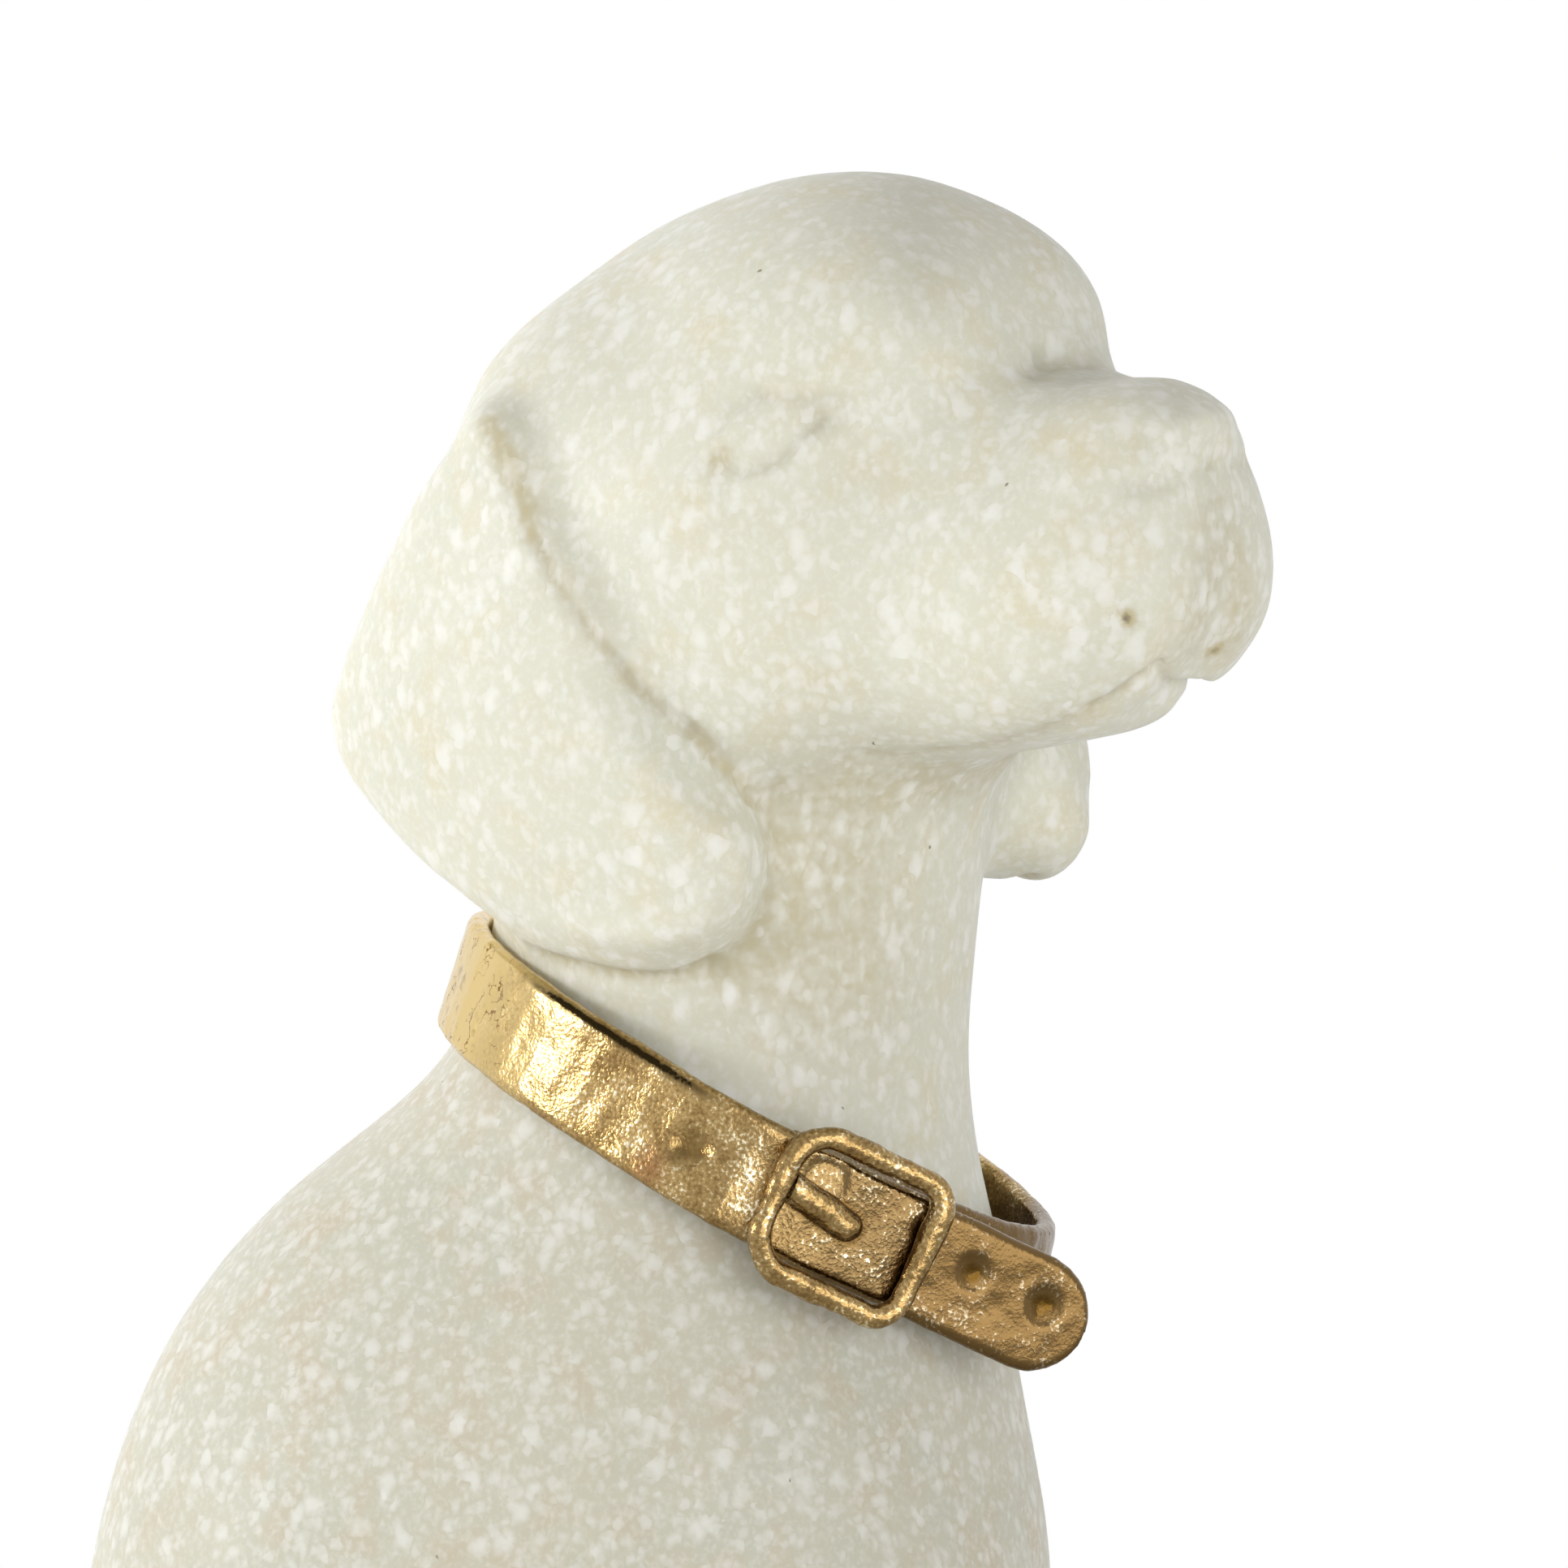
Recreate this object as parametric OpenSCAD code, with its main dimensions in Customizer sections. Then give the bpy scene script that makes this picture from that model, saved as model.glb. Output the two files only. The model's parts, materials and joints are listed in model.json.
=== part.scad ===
// Seated dog sculpture: two resin castings, a gilded collar with its buckle, and felts under the base.
// Millimetres. The dog faces -Y with its left side at +X. It sits on Z = 0, its seat over the origin.

/* [Pose] */
// Turn of the head towards the dog's right, degrees
head_turn = 33; // [0:1:40]
// Tilt of the head towards the dog's right, degrees
head_tilt = 4; // [0:1:8]
// Height of the neck's root above the table
neck_root_z = 190; // [155:1:230]
// Length of the neck from its root to the middle of the head
neck_rise = 60; // [50:1:72]

/* [Head] */
// Half width, half length and half height of the skull
skull_r = [32, 34.5, 34]; // [26:0.5:42]
// Half sizes of the forehead
forehead_r = [25, 22, 22]; // [18:0.5:30]
// Half sizes of each brow
brow_r = [10, 12, 9]; // [7:0.5:15]
// Half sizes of each cheek
cheek_r = [14, 20, 20]; // [11:0.5:25]
// Half sizes of the muzzle's bridge
bridge_r = [13.5, 21, 15]; // [11:0.5:26]
// Half sizes of each upper lip
lip_r = [14, 17.5, 15]; // [11:0.5:22]
// Half sizes of the nose
nose_r = [10, 7.5, 7.5]; // [6:0.5:12]
// Radius of the lower jaw at its root and at the chin
jaw_r = [14, 9]; // [7:0.5:17]

/* [Ears] */
// Thickness of an ear at its rim
ear_t = 10; // [8:0.5:12]
// How far an ear's middle stands from the middle of the head
ear_out = 36.5; // [33:0.5:42]
// How much further an ear's face swells in the middle
ear_crown = 2.2; // [0:0.2:4]

/* [Neck and trunk] */
// Radius of the neck at its root and under the skull
neck_r = [29.5, 25]; // [21:0.5:36]
// Half sizes of the chest
chest_r = [40, 42, 56]; // [33:1:66]
// Half sizes of the back
back_r = [42, 42, 66]; // [35:1:78]
// Half sizes of each shoulder
shoulder_r = [15, 26, 36]; // [12:1:42]
// Half sizes of the rump
rump_r = [44, 43, 52]; // [37:1:60]
// Half sizes of each thigh
thigh_r = [19, 36, 38]; // [16:1:44]

/* [Legs and tail] */
// Radius of a foreleg at the elbow and above the paw
foreleg_r = [17, 11]; // [9:0.5:20]
// Half sizes of a front paw
paw_r = [13.5, 20, 13]; // [11:0.5:24]
// Radius of a hind foot at the hock and behind the toes
hind_foot_r = [13, 12]; // [11:0.5:15]
// Half sizes of a hind foot's toes
toes_r = [13, 17, 12]; // [11:0.5:20]
// Radius of the tail at its root and at its tip
tail_r = [13, 8]; // [7:0.5:15]

/* [Casting] */
// Wall of the hollow body
wall = 10; // [8:0.5:12]
// Diameter of the head's tenon, which the body's neck takes
tenon_d = 30; // [24:1:36]
// Length of the tenon
tenon_l = 22; // [18:1:27]
// Clearance all round the tenon, for the bond
tenon_gap = 0.2; // [0.1:0.05:0.4]
// Diameter of the plug's stem in the pouring hole
plug_d = 20; // [16:1:24]
// Diameter of the plug's head
plug_head_d = 26; // [24:1:31]
// Thickness of the plug's head
plug_head_t = 3; // [2:0.5:4]
// Clearance round the plug
plug_gap = 0.15; // [0.1:0.05:0.3]

/* [Felts] */
// Thickness of the felt
felt_t = 2; // [1.5:0.1:3]
// Diameter of the felt under the seat
seat_felt_d = 44; // [36:1:50]
// Diameter of the felts under the paws and hocks
felt_d = 16; // [13:0.5:19]

/* [Collar] */
// Width of the strap
strap_w = 13.4; // [11:0.2:16]
// Thickness of the strap
strap_t = 2.5; // [2:0.1:3]
// Slope of the collar, low at the throat, degrees
collar_slope = 28.2; // [24:0.2:32]
// Length of the loop along the neck's fore and aft line, inside the strap
loop_l = 64; // [60:0.5:78]
// Width of the loop across the neck, inside the strap
loop_w = 56; // [50:0.5:70]
// How far the loop's middle stands in front of the neck's
loop_shift = 3; // [2:0.5:5]
// Gap between the strap and the neck where it lies on it
strap_gap = 0.3; // [0.2:0.05:0.6]
// Length of the tail of the strap past the buckle
tail_l = 22.5; // [19:0.5:27]
// Diameter of the punched hole behind the buckle
hole_d = 4.4; // [3.6:0.1:5.2]
// Depth of the punched holes
hole_deep = 1.1; // [0.8:0.1:1.4]
// Places of the punched holes behind the buckle's middle, along the strap
rear_holes = [-19.5]; // [-24:0.5:-15]
// Places of the punched holes in the buckle's window and on the tail
tail_holes = [-4, 16.5, 26]; // [-5:0.5:28]
// How far up from the strap's middle line those holes are
tail_holes_up = [3.5, 1.2, 1.2]; // [-4:0.1:4]
// Diameters of those holes
tail_holes_d = [4.4, 3.3, 3.7]; // [2.8:0.1:5.2]

/* [Buckle] */
// Place of the buckle round the neck from the throat, degrees
buckle_at = 61; // [54:1:70]
// Length of the buckle along the strap, between the middles of its bars
buckle_l = 19; // [16:0.5:22]
// Width of the buckle across the strap, between the middles of its bars
buckle_w = 16.4; // [14.4:0.2:18]
// Diameter of the buckle's bar
bar_d = 2.8; // [2.2:0.1:3.3]
// Radius of the buckle's corners at the rear and at the front
corner_r = [5, 3.4]; // [2.8:0.2:6]
// Length of the prong
prong_l = 10; // [8.5:0.5:12]
// Width of the prong
prong_w = 3.8; // [3:0.2:4.6]
// Skew of the prong across the strap, degrees
prong_skew = -10; // [-12:1:0]
// How far up from the strap's middle line the prong's root is
prong_up = 1.6; // [0:0.1:2]
// Gap between the buckle and the strap under it
seat_gap = 0.15; // [0.1:0.05:0.3]

/* [Hidden] */

resin = "#E4E2D4";
gold = "#C9A45A";
felt = "#8C8A80";
cork = "#B89468";

// Grid steps of the skins: the head's is finer, for its lips and ears.
head_step = 4;
body_step = 6.3;
hollow_step = 13;

// Places of the trunk's masses. The upper ones hang from the neck's root, and the lower ones are sunk into
// the base by as much as leaves each a flat to stand on.
seat_sunk = 8;
foot_sunk = [3, 2, 2];
neck_root = [0, -40, neck_root_z];
head_at = neck_root + [0, -10, neck_rise];
chest_at = neck_root + [0, 1, -50];
back_at = neck_root + [0, 29.5, -63];
shoulder_at = neck_root + [27, 2, -50];
elbow_at = neck_root + [23, -16, -55];
rump_at = [0, 0, rump_r.z - seat_sunk];
thigh_at = [36, -7, 44];
thigh_lean = 14;
wrist_at = [20, -70, 18];
paw_at = [21, -81, paw_r.z - foot_sunk[0]];
hock_at = [40, -8, hind_foot_r[0] - foot_sunk[1]];
toes_at = [46, -48, toes_r.z - foot_sunk[2]];
tail_curl = 100;
tail_steps = 6;
tail_points = [
  for (i = [0:tail_steps])
    let (t = i / tail_steps, a = tail_curl * t)
    [-47 * sin(a), 40 * cos(a) + 6 * t, 10 + 16 * (1 - t) * (1 - t) * (1 - t)]
];

// Places of the head's masses, from the middle of the head.
skull_at = [0, -3, 18.4];
forehead_at = [0, -15.7, 32];
brow_at = [11, -23, 37];
ear_root_at = [20, 12, 23];
ear_root_r = [13, 14, 15];
bridge_at = [0, -38, 17.4];
bridge_round = 9;
nose_at = [0, -54.5, 25];
lip_at = [5, -44.5, 11.5];
flew_at = [10, -30, 8];
flew_r = [13, 22, 16];
jaw_root_at = [0, -18, 2];
chin_at = [0, -45, 2];
cheek_at = [20, -8, 10];

// Outline of an ear seen from the side, as [fore and aft, height] from the middle of the head.
ear_outline = [[19, 30], [45.5, -8], [31.5, -20], [13, -29.5], [-12, -31.5], [-21, -20], [12, 31]];
ear_bend = [0.006, 0.0035];
ear_middle = [6, -4];
ear_swell_over = 16;

// The collar's own axes: ahead and down along the slope, to the dog's right, and up the neck.
collar_at = neck_root + [0, -3, 7.4];
ahead = [0, -cos(collar_slope), -sin(collar_slope)];
aside = [-1, 0, 0];
upward = [0, -sin(collar_slope), cos(collar_slope)];
strap_steps = 56;
lap = 14;
lift_from = 20;
lift_over = 30;
edge_round = 0.7;

// Heights of the base.
base_z = felt_t;
plug_l = wall + 4;
reach_out = 90;
skin_spare = 7;

// Rounded mass with half sizes r about c.
function egg(p, c, r) =
  let (q = p - c, a = [q.x / r.x, q.y / r.y, q.z / r.z], k = norm(a))
  k * (k - 1) / max(norm([a.x / r.x, a.y / r.y, a.z / r.z]), 1e-6);

// Limb that tapers from a to b.
function limb(p, a, b, r) =
  let (d = b - a, t = min(1, max(0, (p - a) * d / (d * d))))
  norm(p - a - t * d) - r[0] - (r[1] - r[0]) * t;

// Block with half sizes h and round edges.
function block(p, c, h, round) =
  let (q = [abs(p.x - c.x) - h.x + round, abs(p.y - c.y) - h.y + round, abs(p.z - c.z) - h.z + round])
  norm([max(q.x, 0), max(q.y, 0), max(q.z, 0)]) + min(max(q.x, q.y, q.z), 0) - round;

// Two forms run into each other over a width k, as clay does under a thumb.
function melt(a, b, k) =
  let (h = max(k - abs(a - b), 0) / k)
  min(a, b) - h * h * k / 4;

// The same for the space that two forms share.
function trim(a, b, k) = -melt(-a, -b, k);

// Point turned about X, about Y and about Z.
function pitched(p, a) = [p.x, cos(a) * p.y - sin(a) * p.z, sin(a) * p.y + cos(a) * p.z];
function rolled(p, a) = [cos(a) * p.x + sin(a) * p.z, p.y, cos(a) * p.z - sin(a) * p.x];
function turned(p, a) = [cos(a) * p.x - sin(a) * p.y, sin(a) * p.x + cos(a) * p.y, p.z];

// How far a point lies outside one side of the ear's outline, drawn in by the rim.
function ear_side(y, z, i) =
  let (
    a = ear_outline[i],
    b = ear_outline[(i + 1) % len(ear_outline)],
    d = (b - a) / norm(b - a)
  )
  (z - a.y) * d.x - (y - a.x) * d.y + ear_t / 2;

function ear_edge(y, z, i = 0) =
  i == len(ear_outline) - 1 ? ear_side(y, z, i)
    : trim(ear_side(y, z, i), ear_edge(y, z, i + 1), 8);

// Ear: a crowned flap that bends towards the neck. Its inner side is twice as thick, and beds on the neck.
function ear_clay(p) =
  let (
    s = [p.y - ear_middle.x, p.z - ear_middle.y],
    x = p.x - ear_out + ear_bend.x * s.x * s.x + ear_bend.y * s.y * s.y,
    edge = ear_edge(p.y, p.z),
    swell = ear_crown * min(max(-edge, 0), ear_swell_over) / ear_swell_over
  )
  norm([max(edge, 0), x > 0 ? x : x / 2]) - ear_t / 2 - swell;

function head_clay(p) =
  let (
    t = rolled(turned(p - head_at, head_turn), head_tilt),
    q = [abs(t.x), t.y, t.z],
    dome = melt(egg(q, skull_at, skull_r), egg(q, forehead_at, forehead_r), 10),
    brows = melt(dome, egg(q, brow_at, brow_r), 8),
    nape = melt(brows, egg(q, ear_root_at, ear_root_r), 12),
    bridge = melt(nape, block(q, bridge_at, bridge_r, bridge_round), 8),
    nose = melt(bridge, egg(q, nose_at, nose_r), 4),
    lips = melt(nose, egg(q, lip_at, lip_r), 8),
    flews = melt(lips, egg(q, flew_at, flew_r), 12),
    jaw = melt(flews, limb(q, jaw_root_at, chin_at, jaw_r), 5),
    cheeks = melt(jaw, egg(q, cheek_at, cheek_r), 12)
  )
  melt(cheeks, ear_clay(q), 4);

function trunk_clay(p) =
  let (
    q = [abs(p.x), p.y, p.z],
    neck = limb(q, neck_root, head_at, neck_r),
    chest = melt(neck, egg(q, chest_at, chest_r), 24),
    back = melt(chest, egg(q, back_at, back_r), 18)
  )
  melt(back, egg(q, rump_at, rump_r), 24);

function tail_part(p, i) =
  let (n = len(tail_points) - 1, slim = (tail_r[1] - tail_r[0]) / n)
  limb(p, tail_points[i], tail_points[i + 1], [tail_r[0] + slim * i, tail_r[0] + slim * (i + 1)]);

function tail_clay(p, i = 0) =
  i == len(tail_points) - 2 ? tail_part(p, i) : min(tail_part(p, i), tail_clay(p, i + 1));

function legs_clay(p) =
  let (
    q = [abs(p.x), p.y, p.z],
    thigh = egg(pitched(q - thigh_at, thigh_lean), [0, 0, 0], thigh_r),
    foot = melt(thigh, limb(q, hock_at, toes_at, hind_foot_r), 8),
    toes = melt(foot, egg(q, toes_at, toes_r), 6),
    foreleg = limb(q, elbow_at, wrist_at, foreleg_r),
    paw = melt(foreleg, egg(q, paw_at, paw_r), 8)
  )
  min(toes, paw);

function body_clay(p) =
  let (
    q = [abs(p.x), p.y, p.z],
    trunk = melt(trunk_clay(p), egg(q, shoulder_at, shoulder_r), 14),
    legs = p.z > neck_root_z ? trunk : melt(trunk, legs_clay(p), 10)
  )
  p.z > neck_root_z / 2 ? legs : melt(legs, tail_clay(p), 15);

// The whole dog. The head is left out of the sum far below it.
function dog_clay(p) =
  p.z < head_at.z - 2 * skull_r.z ? body_clay(p) : melt(body_clay(p), head_clay(p), 8);

// Height of a point above the bond between the two castings, up the neck.
function above_bond(p) = (p - collar_at) * upward;

// Skin of a clay form: one point in each grid cell that the surface crosses, drawn onto the surface, and
// two triangles across each grid edge that it crosses. A pinch that would leave two skins on one edge is
// filled. The middles of the grid's eights are measured first, and only those near the surface further.
corners = [for (z = [0, 1], y = [0, 1], x = [0, 1]) [x, y, z]];
cell_edges = [
  [0, 1], [2, 3], [4, 5], [6, 7], [0, 2], [1, 3], [4, 6], [5, 7], [0, 4], [1, 5], [2, 6], [3, 7]
];

function total(list, i = 0, sum = [0, 0, 0]) = i == len(list) ? sum : total(list, i + 1, sum + list[i]);

function settled(p, clay, step) =
  let (
    e = step / 8,
    v = clay(p),
    g = [clay(p + [e, 0, 0]) - v, clay(p + [0, e, 0]) - v, clay(p + [0, 0, e]) - v] / e,
    move = v / max(g * g, 0.2)
  )
  p - g * min(max(move, -step / 2), step / 2);

function pinched(v, c, a, b) =
  len([for (s = [-a, a], t = [-b, b]) if (v[c + s] < 0 && v[c + t] < 0 && v[c + s + t] >= 0) 1]) > 0;

function skin(clay, from, to, step) =
  let (
    low = from - 2 * step * [1, 1, 1],
    n = [for (k = [0:2]) ceil((to[k] - from[k]) / step) + 4],
    row = n.x + 1,
    sheet = row * (n.y + 1),
    half = [for (k = [0:2]) floor(n[k] / 2) + 1],
    rough = [
      for (k = [0:half.z - 1], j = [0:half.y - 1], i = [0:half.x - 1])
        clay(low + step * [2 * i + 0.5, 2 * j + 0.5, 2 * k + 0.5])
    ],
    raw = [
      for (k = [0:n.z], j = [0:n.y], i = [0:n.x])
        let (r = rough[[floor(i / 2), floor(j / 2), floor(k / 2)] * [1, half.x, half.x * half.y]])
        abs(r) > 1.5 * step ? r : clay(low + step * [i, j, k])
    ],
    v = [
      for (c = [0:len(raw) - 1])
        raw[c] > 0 && raw[c] < step
          && (pinched(raw, c, 1, row) || pinched(raw, c, 1, sheet) || pinched(raw, c, row, sheet))
          ? -step / 50 : raw[c]
    ],
    offsets = [for (o = corners) o * [1, row, sheet]],
    cells = [
      for (k = [0:n.z - 1], j = [0:n.y - 1], i = [0:n.x - 1])
        let (c = [i, j, k] * [1, row, sheet], in = len([for (o = offsets) if (v[c + o] < 0) 1]))
        in > 0 && in < 8 ? 1 : 0
    ],
    ids = [for (c = 0, t = 0; c < len(cells); t = t + cells[c], c = c + 1) t],
    points = [
      for (k = [0:n.z - 1], j = [0:n.y - 1], i = [0:n.x - 1])
        let (c = [i, j, k] * [1, row, sheet])
        if (cells[[i, j, k] * [1, n.x, n.x * n.y]])
          let (
            hits = [
              for (e = cell_edges)
                let (a = v[c + offsets[e[0]]], b = v[c + offsets[e[1]]])
                if ((a < 0) != (b < 0)) corners[e[0]] + (corners[e[1]] - corners[e[0]]) * a / (a - b)
            ]
          )
          settled(low + step * ([i, j, k] + total(hits) / len(hits)), clay, step)
    ],
    axes = [[1, 0, 0], [0, 1, 0], [0, 0, 1]],
    faces = [
      for (k = [1:n.z - 1], j = [1:n.y - 1], i = [1:n.x - 1], m = [0:2])
        let (
          c = [i, j, k] * [1, row, sheet],
          a = v[c],
          b = v[c + axes[m] * [1, row, sheet]]
        )
        if ((a < 0) != (b < 0))
          let (
            s = axes[(m + 1) % 3] * [1, n.x, n.x * n.y],
            t = axes[(m + 2) % 3] * [1, n.x, n.x * n.y],
            d = [i, j, k] * [1, n.x, n.x * n.y],
            ring = [ids[d - s - t], ids[d - t], ids[d], ids[d - s]],
            q = a < 0 ? [ring[0], ring[3], ring[2], ring[1]] : ring,
            short = norm(points[q[0]] - points[q[2]]) <= norm(points[q[1]] - points[q[3]])
          )
          each short
            ? [[q[0], q[1], q[2]], [q[0], q[2], q[3]]]
            : [[q[0], q[1], q[3]], [q[1], q[2], q[3]]]
    ]
  )
  [points, faces];

module solid(s) {
  polyhedron(s[0], s[1], convexity = 8);
}

// Everything above the bond, and everything below it.
module beyond_bond(side) {
  translate(collar_at)
    rotate([collar_slope, 0, 0])
      translate([-reach_out, -reach_out, side > 0 ? 0 : -2 * reach_out])
        cube(2 * reach_out);
}

module along_neck() {
  translate(collar_at)
    rotate([collar_slope, 0, 0])
      children();
}

// Rows of the felts: place on the base, by name.
front_felt_at = [paw_at.x, paw_at.y];
hind_felt_at = [hock_at.x, hock_at.y - 6];

module felt_disc(d) {
  cylinder(d = d, h = felt_t, $fn = 48);
}

module pouring_plug(gap) {
  translate([0, 0, base_z])
    cylinder(d = plug_head_d + 2 * gap, h = plug_head_t + gap, $fn = 64);
  translate([0, 0, base_z])
    cylinder(d = plug_d + 2 * gap, h = plug_l + gap, $fn = 64);
}

// Inside of the slush casting: the trunk's form a wall's thickness down, clear of the socket and the base.
function hollow_clay(p) =
  max(trunk_clay(p) + wall, base_z + wall - p.z, above_bond(p) + tenon_l + wall);

module body_casting() {
  wide = toes_at.x + toes_r.x + tail_r[0];
  low = [-wide, paw_at.y - paw_r.y, -skin_spare];
  high = [wide, tail_points[0].y + 2 * tail_r[0], collar_at.z + 1.5 * neck_r[0]];
  hollow_low = [-rump_r.x, chest_at.y - chest_r.y, base_z];
  hollow_high = [rump_r.x, rump_r.y, neck_root_z];
  clay = function(p) max(dog_clay(p), above_bond(p) - skin_spare, -skin_spare - p.z);
  color(resin)
    difference() {
      solid(skin(clay, low, high, body_step));
      beyond_bond(1);
      translate([-2 * reach_out, -2 * reach_out, base_z - 4 * reach_out])
        cube(4 * reach_out);
      along_neck()
        translate([0, 0, -tenon_l - tenon_gap])
          cylinder(d = tenon_d + 2 * tenon_gap, h = tenon_l + 2 * skin_spare, $fn = 64);
      solid(skin(function(p) hollow_clay(p), hollow_low, hollow_high, hollow_step));
      pouring_plug(plug_gap);
    }
}

module head_casting() {
  reach = ear_out + ear_t + 20;
  low = head_at + [-reach, lip_at.y - lip_r.y - ear_t, collar_at.z - head_at.z - neck_r[0]];
  high = head_at + [reach, reach, skull_at.z + skull_r.z];
  clay = function(p) max(dog_clay(p), -skin_spare - above_bond(p));
  color(resin)
    union() {
      difference() {
        solid(skin(clay, low, high, head_step));
        beyond_bond(-1);
      }
      along_neck()
        translate([0, 0, -tenon_l])
          cylinder(d = tenon_d, h = tenon_l + skin_spare, $fn = 64);
    }
}

// How far out the neck's skin lies from the collar's middle, in a direction round it and at a height up it.
function neck_reach(turn, up, near = 8, far = 70, i = 0) =
  let (mid = (near + far) / 2)
  i == 14 ? mid
    : dog_clay(collar_at + mid * (cos(turn) * ahead + sin(turn) * aside) + up * upward) < 0
      ? neck_reach(turn, up, mid, far, i + 1) : neck_reach(turn, up, near, mid, i + 1);

// Oval of the free loop, from the neck's middle.
function oval_reach(turn) =
  let (
    a = loop_l / 2, b = loop_w / 2,
    u = cos(turn) / a, w = sin(turn) / b, m = loop_shift / a,
    k = u * u + w * w, h = u * m
  )
  (h + sqrt(h * h - k * (m * m - 1))) / k;

// Slope of the strap's face: it leans as the neck does at the nape, and less at the throat, where it hangs.
function neck_slope(turn) = (neck_reach(turn, strap_w / 2) - neck_reach(turn, -strap_w / 2)) / strap_w;
nape_lean = neck_slope(180);
throat_lean = 0.4 * neck_slope(0);
function lean(turn) = nape_lean * pow((1 - cos(turn)) / 2, 2) + throat_lean * pow((1 + cos(turn)) / 2, 2);

// Inside of the strap: on the neck where it lies on it, and on the oval where it stands free at the throat.
function loop_reach(turn) =
  let (
    half = strap_w / 2,
    slope = lean(turn) * half,
    skin_r = max(neck_reach(turn, -half) + slope, neck_reach(turn, 0), neck_reach(turn, half) - slope)
  )
  -melt(-skin_r - strap_gap, -oval_reach(turn), 2);

// The strap's outer end lies over its inner end at the buckle, so it is lifted by the strap's thickness.
function lift(turn) =
  let (t = min(1, max(0, (turn - buckle_at - lift_from) / lift_over)))
  (strap_t + seat_gap) * (1 - t * t * (3 - 2 * t));

// Middle line of the strap about the collar's middle.
function round_the_neck(turn, rise) =
  (loop_reach(turn) + rise + strap_t / 2) * (cos(turn) * ahead + sin(turn) * aside);

function unit(v) = v / norm(v);

// The buckle's place on the strap's middle line, and the way on from there into the tail.
function buckle_place() = round_the_neck(buckle_at, lift(buckle_at));
function buckle_way() =
  unit(round_the_neck(buckle_at - 2, lift(buckle_at)) - round_the_neck(buckle_at + 2, lift(buckle_at)));

// Ring of the strap's section: a flat band with eased edges.
function strap_ring(at, way, half_w, slope) =
  let (
    up = unit(upward + slope * cross(way, upward)),
    out = cross(way, up),
    half_t = strap_t / 2,
    e = edge_round
  )
  [
    for (c = [
      [half_w - e, half_t], [half_w, half_t - e], [half_w, e - half_t], [half_w - e, -half_t],
      [e - half_w, -half_t], [-half_w, e - half_t], [-half_w, half_t - e], [e - half_w, half_t]
    ])
      collar_at + at + c.x * up + c.y * out
  ];

// Rings of the strap: from its inner end under the buckle, down to the throat, round the neck and back to
// the buckle, then straight on into the tail with its round tip.
function strap_rings() =
  let (
    turns = [for (i = [0:strap_steps]) buckle_at + lap - i * (360 + lap) / strap_steps],
    loop = [for (turn = turns) round_the_neck(turn, lift(turn + 360))],
    last = len(loop) - 1,
    way = buckle_way(),
    slope = lean(buckle_at),
    reach = buckle_l / 2 + tail_l,
    tip = strap_w / 2
  )
  [
    for (i = [0:last])
      let (along = i == last ? way : unit(loop[min(i + 1, last)] - loop[max(i - 1, 0)]))
      strap_ring(loop[i], along, strap_w / 2, lean(turns[i])),
    for (s = [4:4:reach - tip - 2]) strap_ring(loop[last] + s * way, way, strap_w / 2, slope),
    for (a = [0, 20, 40, 55, 68, 78])
      strap_ring(loop[last] + (reach - tip + tip * sin(a)) * way, way, tip * cos(a), slope)
  ];

// Closed skin over a row of rings, each with the same number of points.
function ringed(rings) =
  let (m = len(rings[0]), last = len(rings) - 1)
  [
    [for (r = rings) each r],
    [
      [for (i = [0:m - 1]) i],
      for (k = [0:last - 1], i = [0:m - 1])
        let (a = k * m + i, b = k * m + (i + 1) % m)
        each [[a, b + m, b], [a, a + m, b + m]],
      [for (i = [m - 1:-1:0]) last * m + i]
    ]
  ];

// Axes of the buckle: along the strap to its tail, across it up the neck, and out from its face.
module on_buckle() {
  on_strap(buckle_place(), buckle_way(), lean(buckle_at))
    children();
}

// The same axes at a place on the strap's middle line, with Z = 0 on the strap's outer face.
module on_strap(at, way, slope) {
  up = unit(upward + slope * cross(way, upward));
  out = cross(way, up);
  o = collar_at + at + out * strap_t / 2;
  multmatrix([
    [way.x, up.x, out.x, o.x],
    [way.y, up.y, out.y, o.y],
    [way.z, up.z, out.z, o.z],
    [0, 0, 0, 1]
  ])
    children();
}

// Punched hole at a distance along the strap from the buckle, square to the strap's face there.
module punched(s) {
  turn = buckle_at - s / norm(buckle_place()) * 180 / PI;
  rise = lift(turn);
  way = unit(round_the_neck(turn - 2, rise) - round_the_neck(turn + 2, rise));
  on_strap(round_the_neck(turn, rise), way, lean(turn))
    translate([0, 0, -hole_deep])
      cylinder(d = hole_d, h = strap_t, $fn = 24);
}

module collar_strap() {
  color(gold)
    difference() {
      solid(ringed(strap_rings()));
      for (s = rear_holes) punched(s);
      on_buckle()
        for (i = [0:len(tail_holes) - 1])
          translate([tail_holes[i], tail_holes_up[i], -hole_deep])
            cylinder(d = tail_holes_d[i], h = strap_t, $fn = 24);
    }
}

// Bar of the buckle along one side, and the bend at one corner.
module bar(l) {
  translate([0, 0, -l / 2])
    cylinder(d = bar_d, h = l, $fn = 32);
}

module bend(r) {
  rotate_extrude(angle = 90, $fn = 48)
    translate([r, 0])
      circle(d = bar_d, $fn = 32);
}

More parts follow.
